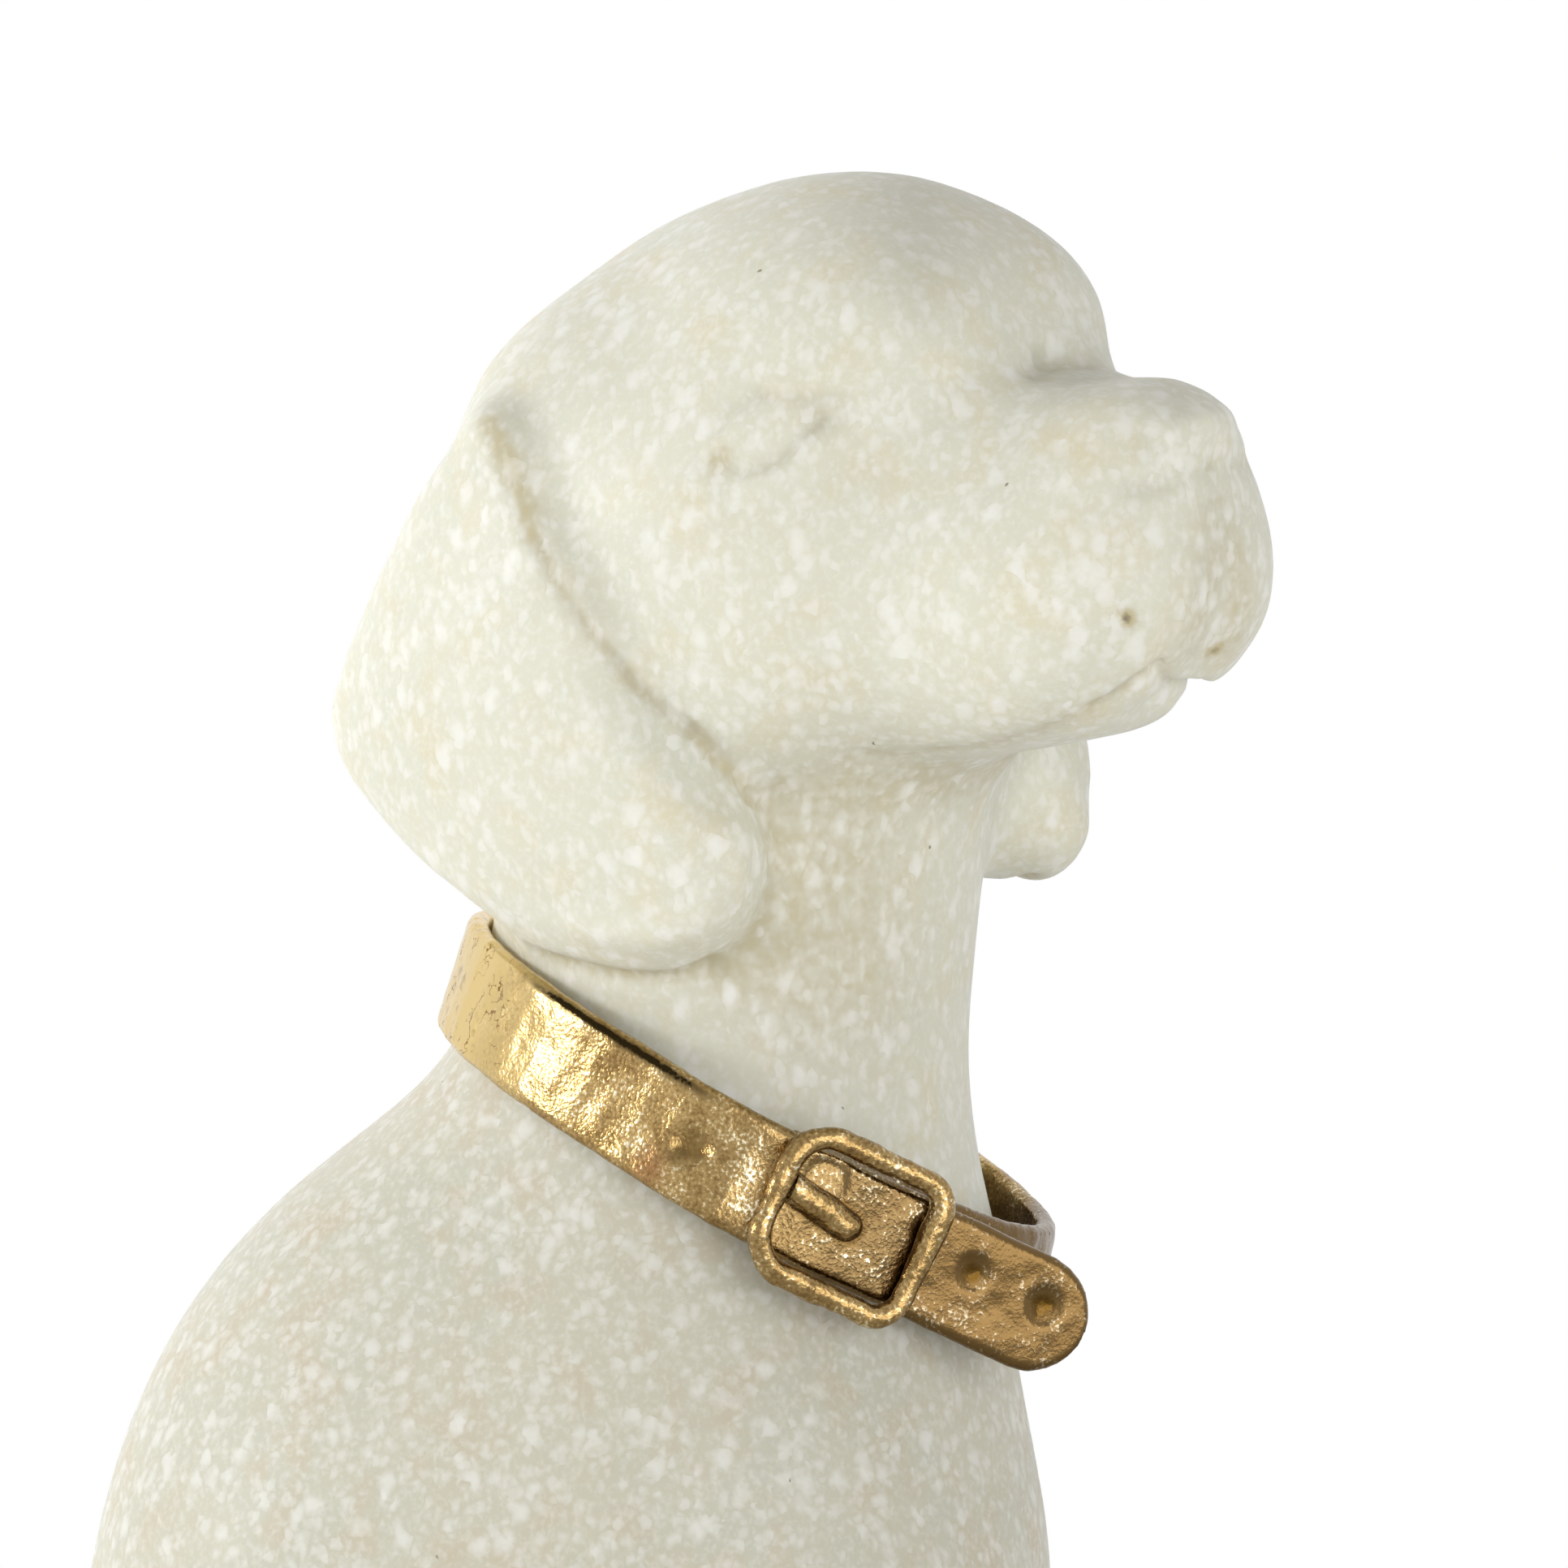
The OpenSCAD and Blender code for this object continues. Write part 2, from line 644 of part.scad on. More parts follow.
module buckle_frame() {
  x = buckle_l / 2;
  y = buckle_w / 2;
  rear = corner_r[0];
  front = corner_r[1];
  color(gold)
    on_buckle()
      translate([0, 0, bar_d / 2 + seat_gap]) {
        translate([-x, 0, 0]) rotate([90, 0, 0]) bar(2 * (y - rear));
        translate([x, 0, 0]) rotate([90, 0, 0]) bar(2 * (y - front));
        for (s = [0, 1])
          mirror([0, s, 0]) {
            translate([(rear - front) / 2, y, 0]) rotate([0, 90, 0]) bar(2 * x - rear - front);
            translate([x - front, y - front, 0]) bend(front);
            translate([rear - x, y - rear, 0]) rotate([0, 0, 90]) bend(rear);
          }
      }
}

// Prong: a round-ended tongue, flat underneath, that butts on the buckle's rear bar.
module buckle_prong() {
  color(gold)
    on_buckle()
      difference() {
        translate([-buckle_l / 2, prong_up, seat_gap])
          rotate([0, 0, prong_skew]) {
            rotate([0, 90, 0]) cylinder(d = prong_w, h = prong_l, $fn = 32);
            translate([prong_l, 0, 0]) sphere(d = prong_w, $fn = 32);
          }
        translate([-buckle_l, -buckle_w, seat_gap - prong_w])
          cube([2 * buckle_l, 2 * buckle_w, prong_w]);
        translate([-buckle_l / 2, 0, bar_d / 2 + seat_gap])
          rotate([90, 0, 0]) bar_space();
      }
}

// Room for the rear bar behind the prong's root.
module bar_space() {
  d = bar_d + 2 * seat_gap;
  translate([0, 0, -buckle_w / 2])
    cylinder(d = d, h = buckle_w, $fn = 32);
  translate([-buckle_l, -buckle_w / 2, -buckle_w / 2])
    cube([buckle_l, buckle_w, buckle_w]);
}

module base_plug() {
  color(cork)
    pouring_plug(0);
}

module seat_felt() {
  color(felt)
    felt_disc(seat_felt_d);
}

module foot_felt(side, at) {
  color(felt)
    translate([side * at.x, at.y, 0])
      felt_disc(felt_d);
}

body_casting();
head_casting();
collar_strap();
buckle_frame();
buckle_prong();
base_plug();
seat_felt();
foot_felt(1, front_felt_at);  // felt_front_left
foot_felt(-1, front_felt_at);  // felt_front_right
foot_felt(1, hind_felt_at);  // felt_hind_left
foot_felt(-1, hind_felt_at);  // felt_hind_right
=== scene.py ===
"""Looks of a seated dog sculpture: two castings of marble-look resin, a gilded collar, a plug and felts."""

import json
import logging
import math
from collections.abc import Callable
from dataclasses import dataclass, field
from enum import Enum
from functools import partial

import bpy
import numpy as np
from mathutils import Matrix, Vector
from mathutils.kdtree import KDTree

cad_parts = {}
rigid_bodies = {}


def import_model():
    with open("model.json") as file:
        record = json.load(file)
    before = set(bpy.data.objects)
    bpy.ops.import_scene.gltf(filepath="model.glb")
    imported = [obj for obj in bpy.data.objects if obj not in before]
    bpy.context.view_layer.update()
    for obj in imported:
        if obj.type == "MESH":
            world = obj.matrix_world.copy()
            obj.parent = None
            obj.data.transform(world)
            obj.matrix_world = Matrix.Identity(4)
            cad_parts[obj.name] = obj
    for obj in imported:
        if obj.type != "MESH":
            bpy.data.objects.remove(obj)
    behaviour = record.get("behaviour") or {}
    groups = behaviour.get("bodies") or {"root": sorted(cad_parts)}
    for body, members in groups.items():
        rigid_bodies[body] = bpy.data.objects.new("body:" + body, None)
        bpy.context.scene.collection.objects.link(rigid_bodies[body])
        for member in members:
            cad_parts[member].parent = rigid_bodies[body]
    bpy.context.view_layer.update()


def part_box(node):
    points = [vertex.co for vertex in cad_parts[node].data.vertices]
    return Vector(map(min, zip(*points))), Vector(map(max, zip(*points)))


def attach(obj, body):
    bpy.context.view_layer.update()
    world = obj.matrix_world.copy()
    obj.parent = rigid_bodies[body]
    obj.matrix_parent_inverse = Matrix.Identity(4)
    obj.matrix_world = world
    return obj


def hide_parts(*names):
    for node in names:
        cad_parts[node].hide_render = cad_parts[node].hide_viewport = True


log = logging.getLogger("dog")

MM = 0.001
BODY = "root"
# Corners of loose triangles that are closer than this are one, and a sharper edge than this stays an edge.
JOIN_MM = 0.005
SHARP_DEGREES = 60
# Names under which a mesh keeps a number for each vertex, for its material.
# This one holds a wash and painted shade in creases.
STAIN_AND_SHADE = "stain_and_shade"
FLAT = "flat"
# This one holds a painted dark reflection.
DARK_REFLECTION = "rim"
BOLE = "bole"
# This one holds painted shade towards the buckle.
FRONT = "front"

Point = tuple[float, float, float]
Span = tuple[float, float]
Socket = bpy.types.NodeSocket
Ink = tuple[float, float, float, float] | Socket
AddNode = Callable[..., bpy.types.Node]

# Middle of the neck under the strap, m, where the two castings are bonded.
NECK_AT: Point = (0.0, -0.043, 0.1974)


def linear(code: str) -> tuple[float, float, float, float]:
    """Turns an sRGB hex colour into linear values.

    Args:
        code: Six hex digits, with or without a leading #.

    Returns:
        Red, green and blue in linear light, and an alpha of 1.
    """
    parts = [int(code.lstrip("#")[i : i + 2], 16) / 255 for i in (0, 2, 4)]
    low = [c / 12.92 if c <= 0.04045 else ((c + 0.055) / 1.055) ** 2.4 for c in parts]
    return (low[0], low[1], low[2], 1.0)


def per_mm(size: float) -> float:
    """Texture scale whose pattern repeats about once in that many millimetres."""
    return 1 / (size * MM)


def add(tree: bpy.types.NodeTree, kind: str, ins: dict | None = None, **settings: object) -> bpy.types.Node:
    """Adds a node with its settings and links.

    Args:
        tree: Node tree that gets it.
        kind: Type of the node.
        ins: Input name or number to a value, or to the socket that feeds it.
        **settings: Properties of the node.

    Returns:
        The new node.
    """
    node = tree.nodes.new(kind)
    for name, value in settings.items():
        setattr(node, name, value)
    for name, value in (ins or {}).items():
        if isinstance(value, Socket):
            tree.links.new(value, node.inputs[name])
        else:
            node.inputs[name].default_value = value
    return node


def new_material(name: str) -> tuple[bpy.types.Material, AddNode]:
    """Makes a material with no nodes.

    Args:
        name: Name of the material.

    Returns:
        The material, and what adds a node to it.
    """
    material = bpy.data.materials.new(name)
    material.use_nodes = True
    material.node_tree.nodes.clear()
    return material, partial(add, material.node_tree)


def tint(
    node: AddNode, value: Socket, span: Span, first: Ink, second: Ink,
    most: float = 1.0, curve: str = "LINEAR",
) -> Socket:
    """Goes from one colour to another as a value crosses a span.

    Args:
        node: Adds a node to the material.
        value: What decides.
        span: Values at which only the first colour shows, and at which the second shows most.
        first: Colour, or the socket that gives it, at the start of the span.
        second: The same at its end.
        most: Share of the second colour there.
        curve: Course of the change in between.

    Returns:
        The socket of the mixed colour.
    """
    much = node(
        "ShaderNodeMapRange",
        {"Value": value, "From Min": span[0], "From Max": span[1], "To Max": most},
        interpolation_type=curve,
    ).outputs[0]
    return node("ShaderNodeMix", {0: much, 6: first, 7: second}, data_type="RGBA").outputs[2]


def only(obj: bpy.types.Object) -> None:
    """Leaves obj as the one selected and active object, in object mode."""
    if bpy.context.object and bpy.context.object.mode != "OBJECT":
        bpy.ops.object.mode_set(mode="OBJECT")
    bpy.ops.object.select_all(action="DESELECT")
    obj.select_set(True)
    bpy.context.view_layer.objects.active = obj


def apply(obj: bpy.types.Object, kind: str, **settings: object) -> None:
    """Adds a modifier with its settings and applies it.

    Args:
        obj: Mesh object that gets it.
        kind: Type of the modifier.
        **settings: Properties of the modifier.
    """
    only(obj)
    modifier = obj.modifiers.new(kind.lower(), kind)
    for name, value in settings.items():
        setattr(modifier, name, value)
    bpy.ops.object.modifier_apply(modifier=modifier.name)


def places(mesh: bpy.types.Mesh, what: str = "co") -> np.ndarray:
    """Reads each vertex's place or normal as rows of three numbers."""
    flat = np.zeros(len(mesh.vertices) * 3)
    mesh.vertices.foreach_get(what, flat)
    return flat.reshape(-1, 3)


def put(mesh: bpy.types.Mesh, co: np.ndarray) -> None:
    """Writes each vertex's place."""
    mesh.vertices.foreach_set("co", co.ravel())
    mesh.update()


def ramp(values: np.ndarray, start: float, end: float) -> np.ndarray:
    """Rises evenly from 0 at start to 1 at end, and is level outside them."""
    return np.clip((values - start) / (end - start), 0, 1)


def averaged(mesh: bpy.types.Mesh, values: np.ndarray, times: int) -> np.ndarray:
    """Draws each vertex's values towards those of its neighbours.

    Args:
        mesh: Mesh whose edges say which vertices are neighbours.
        values: One row for each vertex.
        times: How often to repeat it.

    Returns:
        The values after it.
    """
    ends = np.zeros(len(mesh.edges) * 2, dtype=np.int64)
    mesh.edges.foreach_get("vertices", ends)
    a, b = ends.reshape(-1, 2).T
    n = len(mesh.vertices)
    share = np.maximum(np.bincount(a, minlength=n) + np.bincount(b, minlength=n), 1)[:, None]
    for _ in range(times):
        total = np.stack([np.bincount(a, c[b], n) + np.bincount(b, c[a], n) for c in values.T], axis=1)
        values = 0.5 * values + 0.5 * total / share
    return values


def even_out(mesh: bpy.types.Mesh, times: int, share: np.ndarray) -> None:
    """Draws each vertex towards its neighbours.

    Args:
        mesh: Mesh that is smoothed.
        times: How often to repeat it.
        share: How far each vertex goes along, from 0 to 1.
    """
    co = places(mesh)
    put(mesh, co + (averaged(mesh, co, times) - co) * share[:, None])


def sunk(mesh: bpy.types.Mesh, times: int) -> np.ndarray:
    """Tells how far each vertex lies below what is round it.

    Args:
        mesh: Mesh that is measured.
        times: How far round it to look, as steps from vertex to vertex.

    Returns:
        Millimetres, more than nothing in a hollow.
    """
    co, normal = places(mesh), places(mesh, "normal")
    return ((averaged(mesh, co, times) - co) * normal).sum(axis=1) / MM


def keep_attribute(mesh: bpy.types.Mesh, name: str, values: np.ndarray) -> None:
    """Stores one number for each vertex under a name that a material can read."""
    mesh.attributes.new(name, "FLOAT", "POINT").data.foreach_set("value", values.astype(np.float32))


def cad_copy(node: str, name: str) -> bpy.types.Object:
    """Copies a CAD node's mesh as a new object with its loose triangles joined up.

    Args:
        node: Name of the CAD node.
        name: Name of the new object.

    Returns:
        The new object, which stands at the origin.
    """
    source = bpy.data.objects[node]
    obj = bpy.data.objects.new(name, source.data.copy())
    obj.data.materials.clear()
    bpy.context.scene.collection.objects.link(obj)
    only(obj)
    bpy.ops.object.mode_set(mode="EDIT")
    bpy.ops.mesh.select_all(action="SELECT")
    bpy.ops.mesh.remove_doubles(threshold=JOIN_MM * MM)
    bpy.ops.object.mode_set(mode="OBJECT")
    return obj


def finish_piece(obj: bpy.types.Object, material: bpy.types.Material, slot: str, *nodes: str) -> None:
    """Smooths a piece's shading, dresses it, and ties it to the CAD.

    Args:
        obj: The piece.
        material: Its material.
        slot: The record's material slot; not used.
        *nodes: CAD nodes that it stands for.
    """
    only(obj)
    bpy.ops.object.shade_smooth_by_angle(angle=math.radians(SHARP_DEGREES))
    obj.data.materials.clear()
    obj.data.materials.append(material)
    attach(obj, BODY)
    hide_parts(*nodes)
    log.info("%s: %d faces", obj.name, len(obj.data.polygons))


@dataclass(frozen=True)
class Resin:
    """Cast polyester resin filled with marble grit.

    To the eye it is a cream body with soft white chips, waxy and a little see-through.

    Attributes:
        name: Name of the material.
        body: Colour of the resin between the chips.
        cool: Colour of its greyer clouds.
        warm: Colour of its warmer clouds.
        chip: Colour of the marble chips.
        wash: Colour of the thin wash under the chips; in creases it also stands for painted shade.
        stain_and_shade: Colour of the wash where it stays in creases, partly painted crease shade.
        speck: Colour of the few dark grains.
        chip_mm: Spacing of the larger chips.
        fine_mm: Spacing of the finer ones.
        flake_mm: Spacing of the places of which a few hold a large flake.
        speck_mm: Spacing of the dark grains.
        ragged_mm: Size of the raggedness of the chips' edges.
        grain_mm: Size of the unevenness of the skin.
        deep_mm: Depth of that unevenness.
        stretch: How much longer the chips are up and down than across.
        show: How clearly the chips show.
        soak: Share of the light that goes under the skin.
        soak_mm: How far it goes there.
    """

    name: str
    body: str = "#E3E3D4"
    cool: str = "#E0E1D3"
    warm: str = "#E2DDC6"
    chip: str = "#F5F5F1"
    wash: str = "#B9AE93"
    stain_and_shade: str = "#CFC5A0"
    speck: str = "#7A6A52"
    chip_mm: float = 2.3
    fine_mm: float = 1.3
    flake_mm: float = 9.5
    speck_mm: float = 11.0
    ragged_mm: float = 1.6
    grain_mm: float = 0.8
    deep_mm: float = 0.1
    stretch: float = 1.5
    show: float = 0.74
    soak: float = 0.6
    soak_mm: float = 4.0

    def build(self) -> bpy.types.Material:
        """Makes the material.

        Returns:
            The new material.
        """
        material, node = new_material(self.name)
        place = node("ShaderNodeTexCoord").outputs["Object"]
        ragged = node(
            "ShaderNodeTexNoise", {"Vector": place, "Scale": per_mm(self.ragged_mm), "Detail": 1.0}
        )
        push = (self.ragged_mm * MM,) * 3
        pushed = node(
            "ShaderNodeVectorMath", {0: ragged.outputs["Color"], 1: push, 2: place},
            operation="MULTIPLY_ADD",
        ).outputs[0]
        # The wash lies under the chips where it is thin, and over them in a crease, where it is partly
        # painted shade.
        much = node("ShaderNodeAttribute", attribute_name=STAIN_AND_SHADE).outputs["Fac"]
        breakup = node(
            "ShaderNodeMapRange",
            {"Value": ragged.outputs["Fac"], "From Min": 0.3, "From Max": 0.7, "To Min": 0.5},
        ).outputs[0]
        broken = node("ShaderNodeMath", {0: much, 1: breakup}, operation="MULTIPLY", use_clamp=True).outputs[0]
        colour = tint(node, broken, (0.0, 1.0), self.clouds(node, place), linear(self.wash))
        long = node("ShaderNodeMapping", {"Vector": pushed, "Scale": (1, 1, 1 / self.stretch)}).outputs[0]
        colour = self.chips(node, long, colour)
        colour = tint(node, broken, (0.2, 0.75), colour, linear(self.stain_and_shade))
        colour = tint(node, much, (0.9, 1.7), colour, linear(self.speck))
        dots = node("ShaderNodeTexVoronoi", {"Vector": pushed, "Scale": per_mm(self.speck_mm)})
        colour = tint(node, dots.outputs["Distance"], (0.026, 0.016), colour, linear(self.speck), 0.75)
        skin = node("ShaderNodeTexNoise", {"Vector": place, "Scale": per_mm(self.grain_mm), "Detail": 2.0})
        grain = skin.outputs["Fac"]
        bump = node("ShaderNodeBump", {"Height": grain, "Strength": 0.3, "Distance": self.deep_mm * MM})
        gloss = node("ShaderNodeMapRange", {"Value": grain, "To Min": 0.36, "To Max": 0.56})
        shader = node(
            "ShaderNodeBsdfPrincipled",
            {
                "Base Color": colour, "Roughness": gloss.outputs[0], "Normal": bump.outputs[0], "IOR": 1.5,
                "Subsurface Weight": self.soak, "Subsurface Radius": (1.0, 0.92, 0.75),
                "Subsurface Scale": self.soak_mm * MM,
            },
        )
        node("ShaderNodeOutputMaterial", {"Surface": shader.outputs[0]})
        return material

    def clouds(self, node: AddNode, place: Socket) -> Socket:
        """Mixes cool and warm clouds and a fine curd into the resin's own colour.

        Args:
            node: Adds a node to the material.
            place: Coordinates of the casting.

        Returns:
            The colour of the resin between its chips.
        """
        colour = linear(self.body)
        for spacing, code, low, high in (
            (16, self.cool, 0.42, 0.66),
            (7, self.warm, 0.5, 0.75),
            (1.5, self.chip, 0.54, 1.05),
            (0.7, self.chip, 0.5, 1.2),
        ):
            noise = node("ShaderNodeTexNoise", {"Vector": place, "Scale": per_mm(spacing), "Detail": 3.0})
            colour = tint(node, noise.outputs["Fac"], (low, high), colour, linear(code))
        return colour

    def chips(self, node: AddNode, place: Socket, colour: Socket) -> Socket:
        """Lays in two sizes of soft chip that lie close, and a few large flakes with a clear edge.

        Args:
            node: Adds a node to the material.
            place: Coordinates that the chips lie in.
            colour: Colour between them.

        Returns:
            The colour with the chips in it.
        """
        for spacing, least, most, edge, share in (
            (self.chip_mm, -0.3, 0.5, 0.6, self.show),
            (self.fine_mm, -0.15, 0.56, 0.6, 0.7 * self.show),
            (self.flake_mm, -0.9, 0.15, 0.04, 1.0),
        ):
            cells = node("ShaderNodeTexVoronoi", {"Vector": place, "Scale": per_mm(spacing)})
            chance = node("ShaderNodeSeparateColor", {"Color": cells.outputs["Color"]}).outputs[0]
            size = node("ShaderNodeMapRange", {"Value": chance, "To Min": least, "To Max": most}).outputs[0]
            inside = node(
                "ShaderNodeMath", {0: size, 1: cells.outputs["Distance"]}, operation="SUBTRACT"
            ).outputs[0]
            span = (-edge / 2, edge / 2)
            colour = tint(node, inside, span, colour, linear(self.chip), share, "SMOOTHSTEP")
        return colour


@dataclass(frozen=True)
class GoldLeaf:
    """Leaf laid over a size on resin.

    To the eye it is pale and cracked where it lies flat, and sparkles in grains where it crumpled.

    Attributes:
        name: Name of the material.
        flat: Colour of flat leaf, paler than the rest partly as painted reflection of the lamps.
        bright: Colour of a grain that catches the light.
        middle: Colour of most grains.
        deep: Colour of grains painted as turned away from the light, and of cracks.
        shade_brown: What darkens the grains on the buckle and the loose end, as painted shade.
        satin: Colour of the loose end, where the leaf is rubbed to an even sheen, darker partly as painted
            shade.
        amber_and_shade: Colour of the size that pools in creases, and of the shade painted there and in
            holes.
        dark: Colour of the dark reflection painted on the strap's upper edge.
        red: Colour of the bole where it shows through.
        grain_mm: Size of the grains, drawn a little coarser than they are so that they show.
        grain_deep_mm: Their depth.
        fold_mm: Size of the folds.
        fold_deep_mm: Their depth.
        patch_mm: Size of the patches in which more or fewer grains catch the light.
        crack_mm: Spacing of the cracks.
        smudge_mm: Spacing of the places that have cracks.
    """

    name: str = "gold_leaf_on_size"
    flat: str = "#E6CB8C"
    bright: str = "#FBF2D6"
    middle: str = "#BFA26C"
    deep: str = "#876B40"
    shade_brown: str = "#54422A"
    satin: str = "#775E38"
    amber_and_shade: str = "#553E18"
    dark: str = "#2A2110"
    red: str = "#8A4F3A"
    grain_mm: float = 0.42
    grain_deep_mm: float = 0.08
    fold_mm: float = 1.8
    fold_deep_mm: float = 0.3
    patch_mm: float = 4.0
    crack_mm: float = 2.6
    smudge_mm: float = 3.3

    def build(self) -> bpy.types.Material:
        """Makes the material.

        Returns:
            The new material.
        """
        material, node = new_material(self.name)
        place = node("ShaderNodeTexCoord").outputs["Object"]
        flat = node("ShaderNodeAttribute", attribute_name=FLAT).outputs["Fac"]
        front = node("ShaderNodeAttribute", attribute_name=FRONT).outputs["Fac"]
        folds, grain, patch = [
            node("ShaderNodeTexNoise", {"Vector": place, "Scale": per_mm(size), "Detail": fine}).outputs[0]
            for size, fine in ((self.fold_mm, 3.0), (self.grain_mm, 1.5), (self.patch_mm, 2.0))
        ]
        # Painted glints and shade: in some patches more grains are coloured as lit, elsewhere as turned
        # away.
        lit = node("ShaderNodeMath", {0: patch, 1: 0.7, 2: grain}, operation="MULTIPLY_ADD").outputs[0]
        colour = tint(node, lit, (0.62, 1.02), linear(self.deep), linear(self.middle))
        # Painted shade darkens the leaf towards the buckle and on the loose end.
        colour = tint(node, front, (0.0, 1.3), colour, linear(self.shade_brown))
        colour = tint(node, lit, (0.99, 1.22), colour, linear(self.bright))
        colour = tint(node, front, (1.0, 2.4), colour, linear(self.satin))
        # Flat leaf is cracked, and paler partly as painted reflection.
        sheet = tint(node, self.cracks(node, place), (0.0, 1.0), linear(self.flat), linear(self.deep))
        colour = tint(node, flat, (0.0, 1.0), colour, sheet)
        breakup = node("ShaderNodeMath", {0: folds, 1: grain}, operation="ADD").outputs[0]
        # Size with painted shade, a painted dark reflection and the bole, each broken up by the folds and
        # grains.
        for name, code in ((STAIN_AND_SHADE, self.amber_and_shade), (DARK_REFLECTION, self.dark), (BOLE, self.red)):
            mark = node("ShaderNodeAttribute", attribute_name=name).outputs["Fac"]
            much = node("ShaderNodeMath", {0: mark, 1: breakup}, operation="MULTIPLY").outputs[0]
            colour = tint(node, much, (0.15, 0.75), colour, linear(code))
        # The grains stand out most where the leaf is neither flat nor rubbed.
        raised = node("ShaderNodeMath", {0: flat, 1: -0.8, 2: 1.0}, operation="MULTIPLY_ADD").outputs[0]
        even = node(
            "ShaderNodeMapRange",
            {"Value": front, "From Min": 1.0, "From Max": 1.9, "To Min": 1.0, "To Max": 0.55},
        ).outputs[0]
        rough = node("ShaderNodeMath", {0: raised, 1: even}, operation="MULTIPLY").outputs[0]
        bump = node(
            "ShaderNodeBump", {"Height": grain, "Strength": rough, "Distance": self.grain_deep_mm * MM}
        ).outputs[0]
        bump = node(
            "ShaderNodeBump",
            {"Height": folds, "Strength": 0.15, "Distance": self.fold_deep_mm * MM, "Normal": bump},
        ).outputs[0]
        gloss = node("ShaderNodeMapRange", {"Value": patch, "To Min": 0.18, "To Max": 0.3}).outputs[0]
        shader = node(
            "ShaderNodeBsdfPrincipled",
            {"Base Color": colour, "Roughness": gloss, "Normal": bump, "Metallic": 1.0},
        )
        node("ShaderNodeOutputMaterial", {"Surface": shader.outputs[0]})
        return material

    def cracks(self, node: AddNode, place: Socket) -> Socket:
        """Draws short broken cracks and smudges.

        Args:
            node: Adds a node to the material.
            place: Coordinates of the collar.

        Returns:
            A socket that is near 1 in a crack.
        """
        line, some = [
            node("ShaderNodeTexNoise", {"Vector": place, "Scale": per_mm(size), "Detail": fine}).outputs[0]
            for size, fine in ((self.crack_mm, 4.0), (self.smudge_mm, 2.0))
        ]
        off = node("ShaderNodeMath", {0: line, 1: 0.5, 2: 0.012}, operation="COMPARE").outputs[0]
        here = node("ShaderNodeMapRange", {"Value": some, "From Min": 0.48, "From Max": 0.62}).outputs[0]
        crack = node("ShaderNodeMath", {0: off, 1: here}, operation="MULTIPLY").outputs[0]
        smudge = node("ShaderNodeMapRange", {"Value": line, "From Min": 0.6, "From Max": 0.8}).outputs[0]
        return node("ShaderNodeMath", {0: crack, 1: smudge}, operation="MAXIMUM").outputs[0]


@dataclass(frozen=True)
class Flecked:
    """Pressed wool felt or cork.

    To the eye it is dull and a little fuzzy, with flecks of a second colour in it.

    Attributes:
        name: Name of the material.
        ground: Main colour.
        fleck: Colour of the flecks.
        fleck_mm: Spacing of the flecks.
        fibre_mm: Size of the fibres or pores.
        fibre_deep_mm: Their depth.
        rough: Roughness, which the fibres vary.
        vary: How far they vary it.
        fuzz: Sheen of loose fibres on felt.
    """

    name: str
    ground: str
    fleck: str
    fleck_mm: float
    fibre_mm: float = 0.6
    fibre_deep_mm: float = 0.3
    rough: float = 0.9
    vary: float = 0.1
    fuzz: float = 0.0

    def build(self) -> bpy.types.Material:
        """Makes the material.

        Returns:
            The new material.
        """
        material, node = new_material(self.name)
        place = node("ShaderNodeTexCoord").outputs["Object"]
        cells = node("ShaderNodeTexVoronoi", {"Vector": place, "Scale": per_mm(self.fleck_mm)})
        colour = tint(node, cells.outputs["Distance"], (0.15, 0.6), linear(self.fleck), linear(self.ground))
        noise = node("ShaderNodeTexNoise", {"Vector": place, "Scale": per_mm(self.fibre_mm), "Detail": 3.0})
        fibre = noise.outputs["Fac"]
        bump = node(
            "ShaderNodeBump", {"Height": fibre, "Strength": 0.7, "Distance": self.fibre_deep_mm * MM}
        )
        dull = node(
            "ShaderNodeMapRange",
            {"Value": fibre, "To Min": self.rough - self.vary, "To Max": self.rough + self.vary},
        )
        shader = node(
            "ShaderNodeBsdfPrincipled",
            {
                "Base Color": colour, "Normal": bump.outputs[0], "Roughness": dull.outputs[0],
                "Sheen Weight": self.fuzz,
            },
        )
        node("ShaderNodeOutputMaterial", {"Surface": shader.outputs[0]})
        return material


class Side(Enum):
    """Sides of the dog that a stroke is carved on, as signs of x."""

    BOTH = (1, -1)
    LEFT = (1,)
    RIGHT = (-1,)


@dataclass(frozen=True)
class Stroke:
    """One stroke of a modelling tool, as a path in millimetres on the dog's left side.

    Attributes:
        path: Points that the tool goes through.
        width: Half width of the mark, mm.
        depth: How deep it presses, mm; a raised mark is less than nothing.
        stain_and_shade: How much of the wash stays in it; on the neck under the jaw and beside the ear it
            is painted shade.
        side: Sides that get it.
    """

    path: tuple[Point, ...]
    width: float
    depth: float
    stain_and_shade: float = 0.0
    side: Side = Side.BOTH


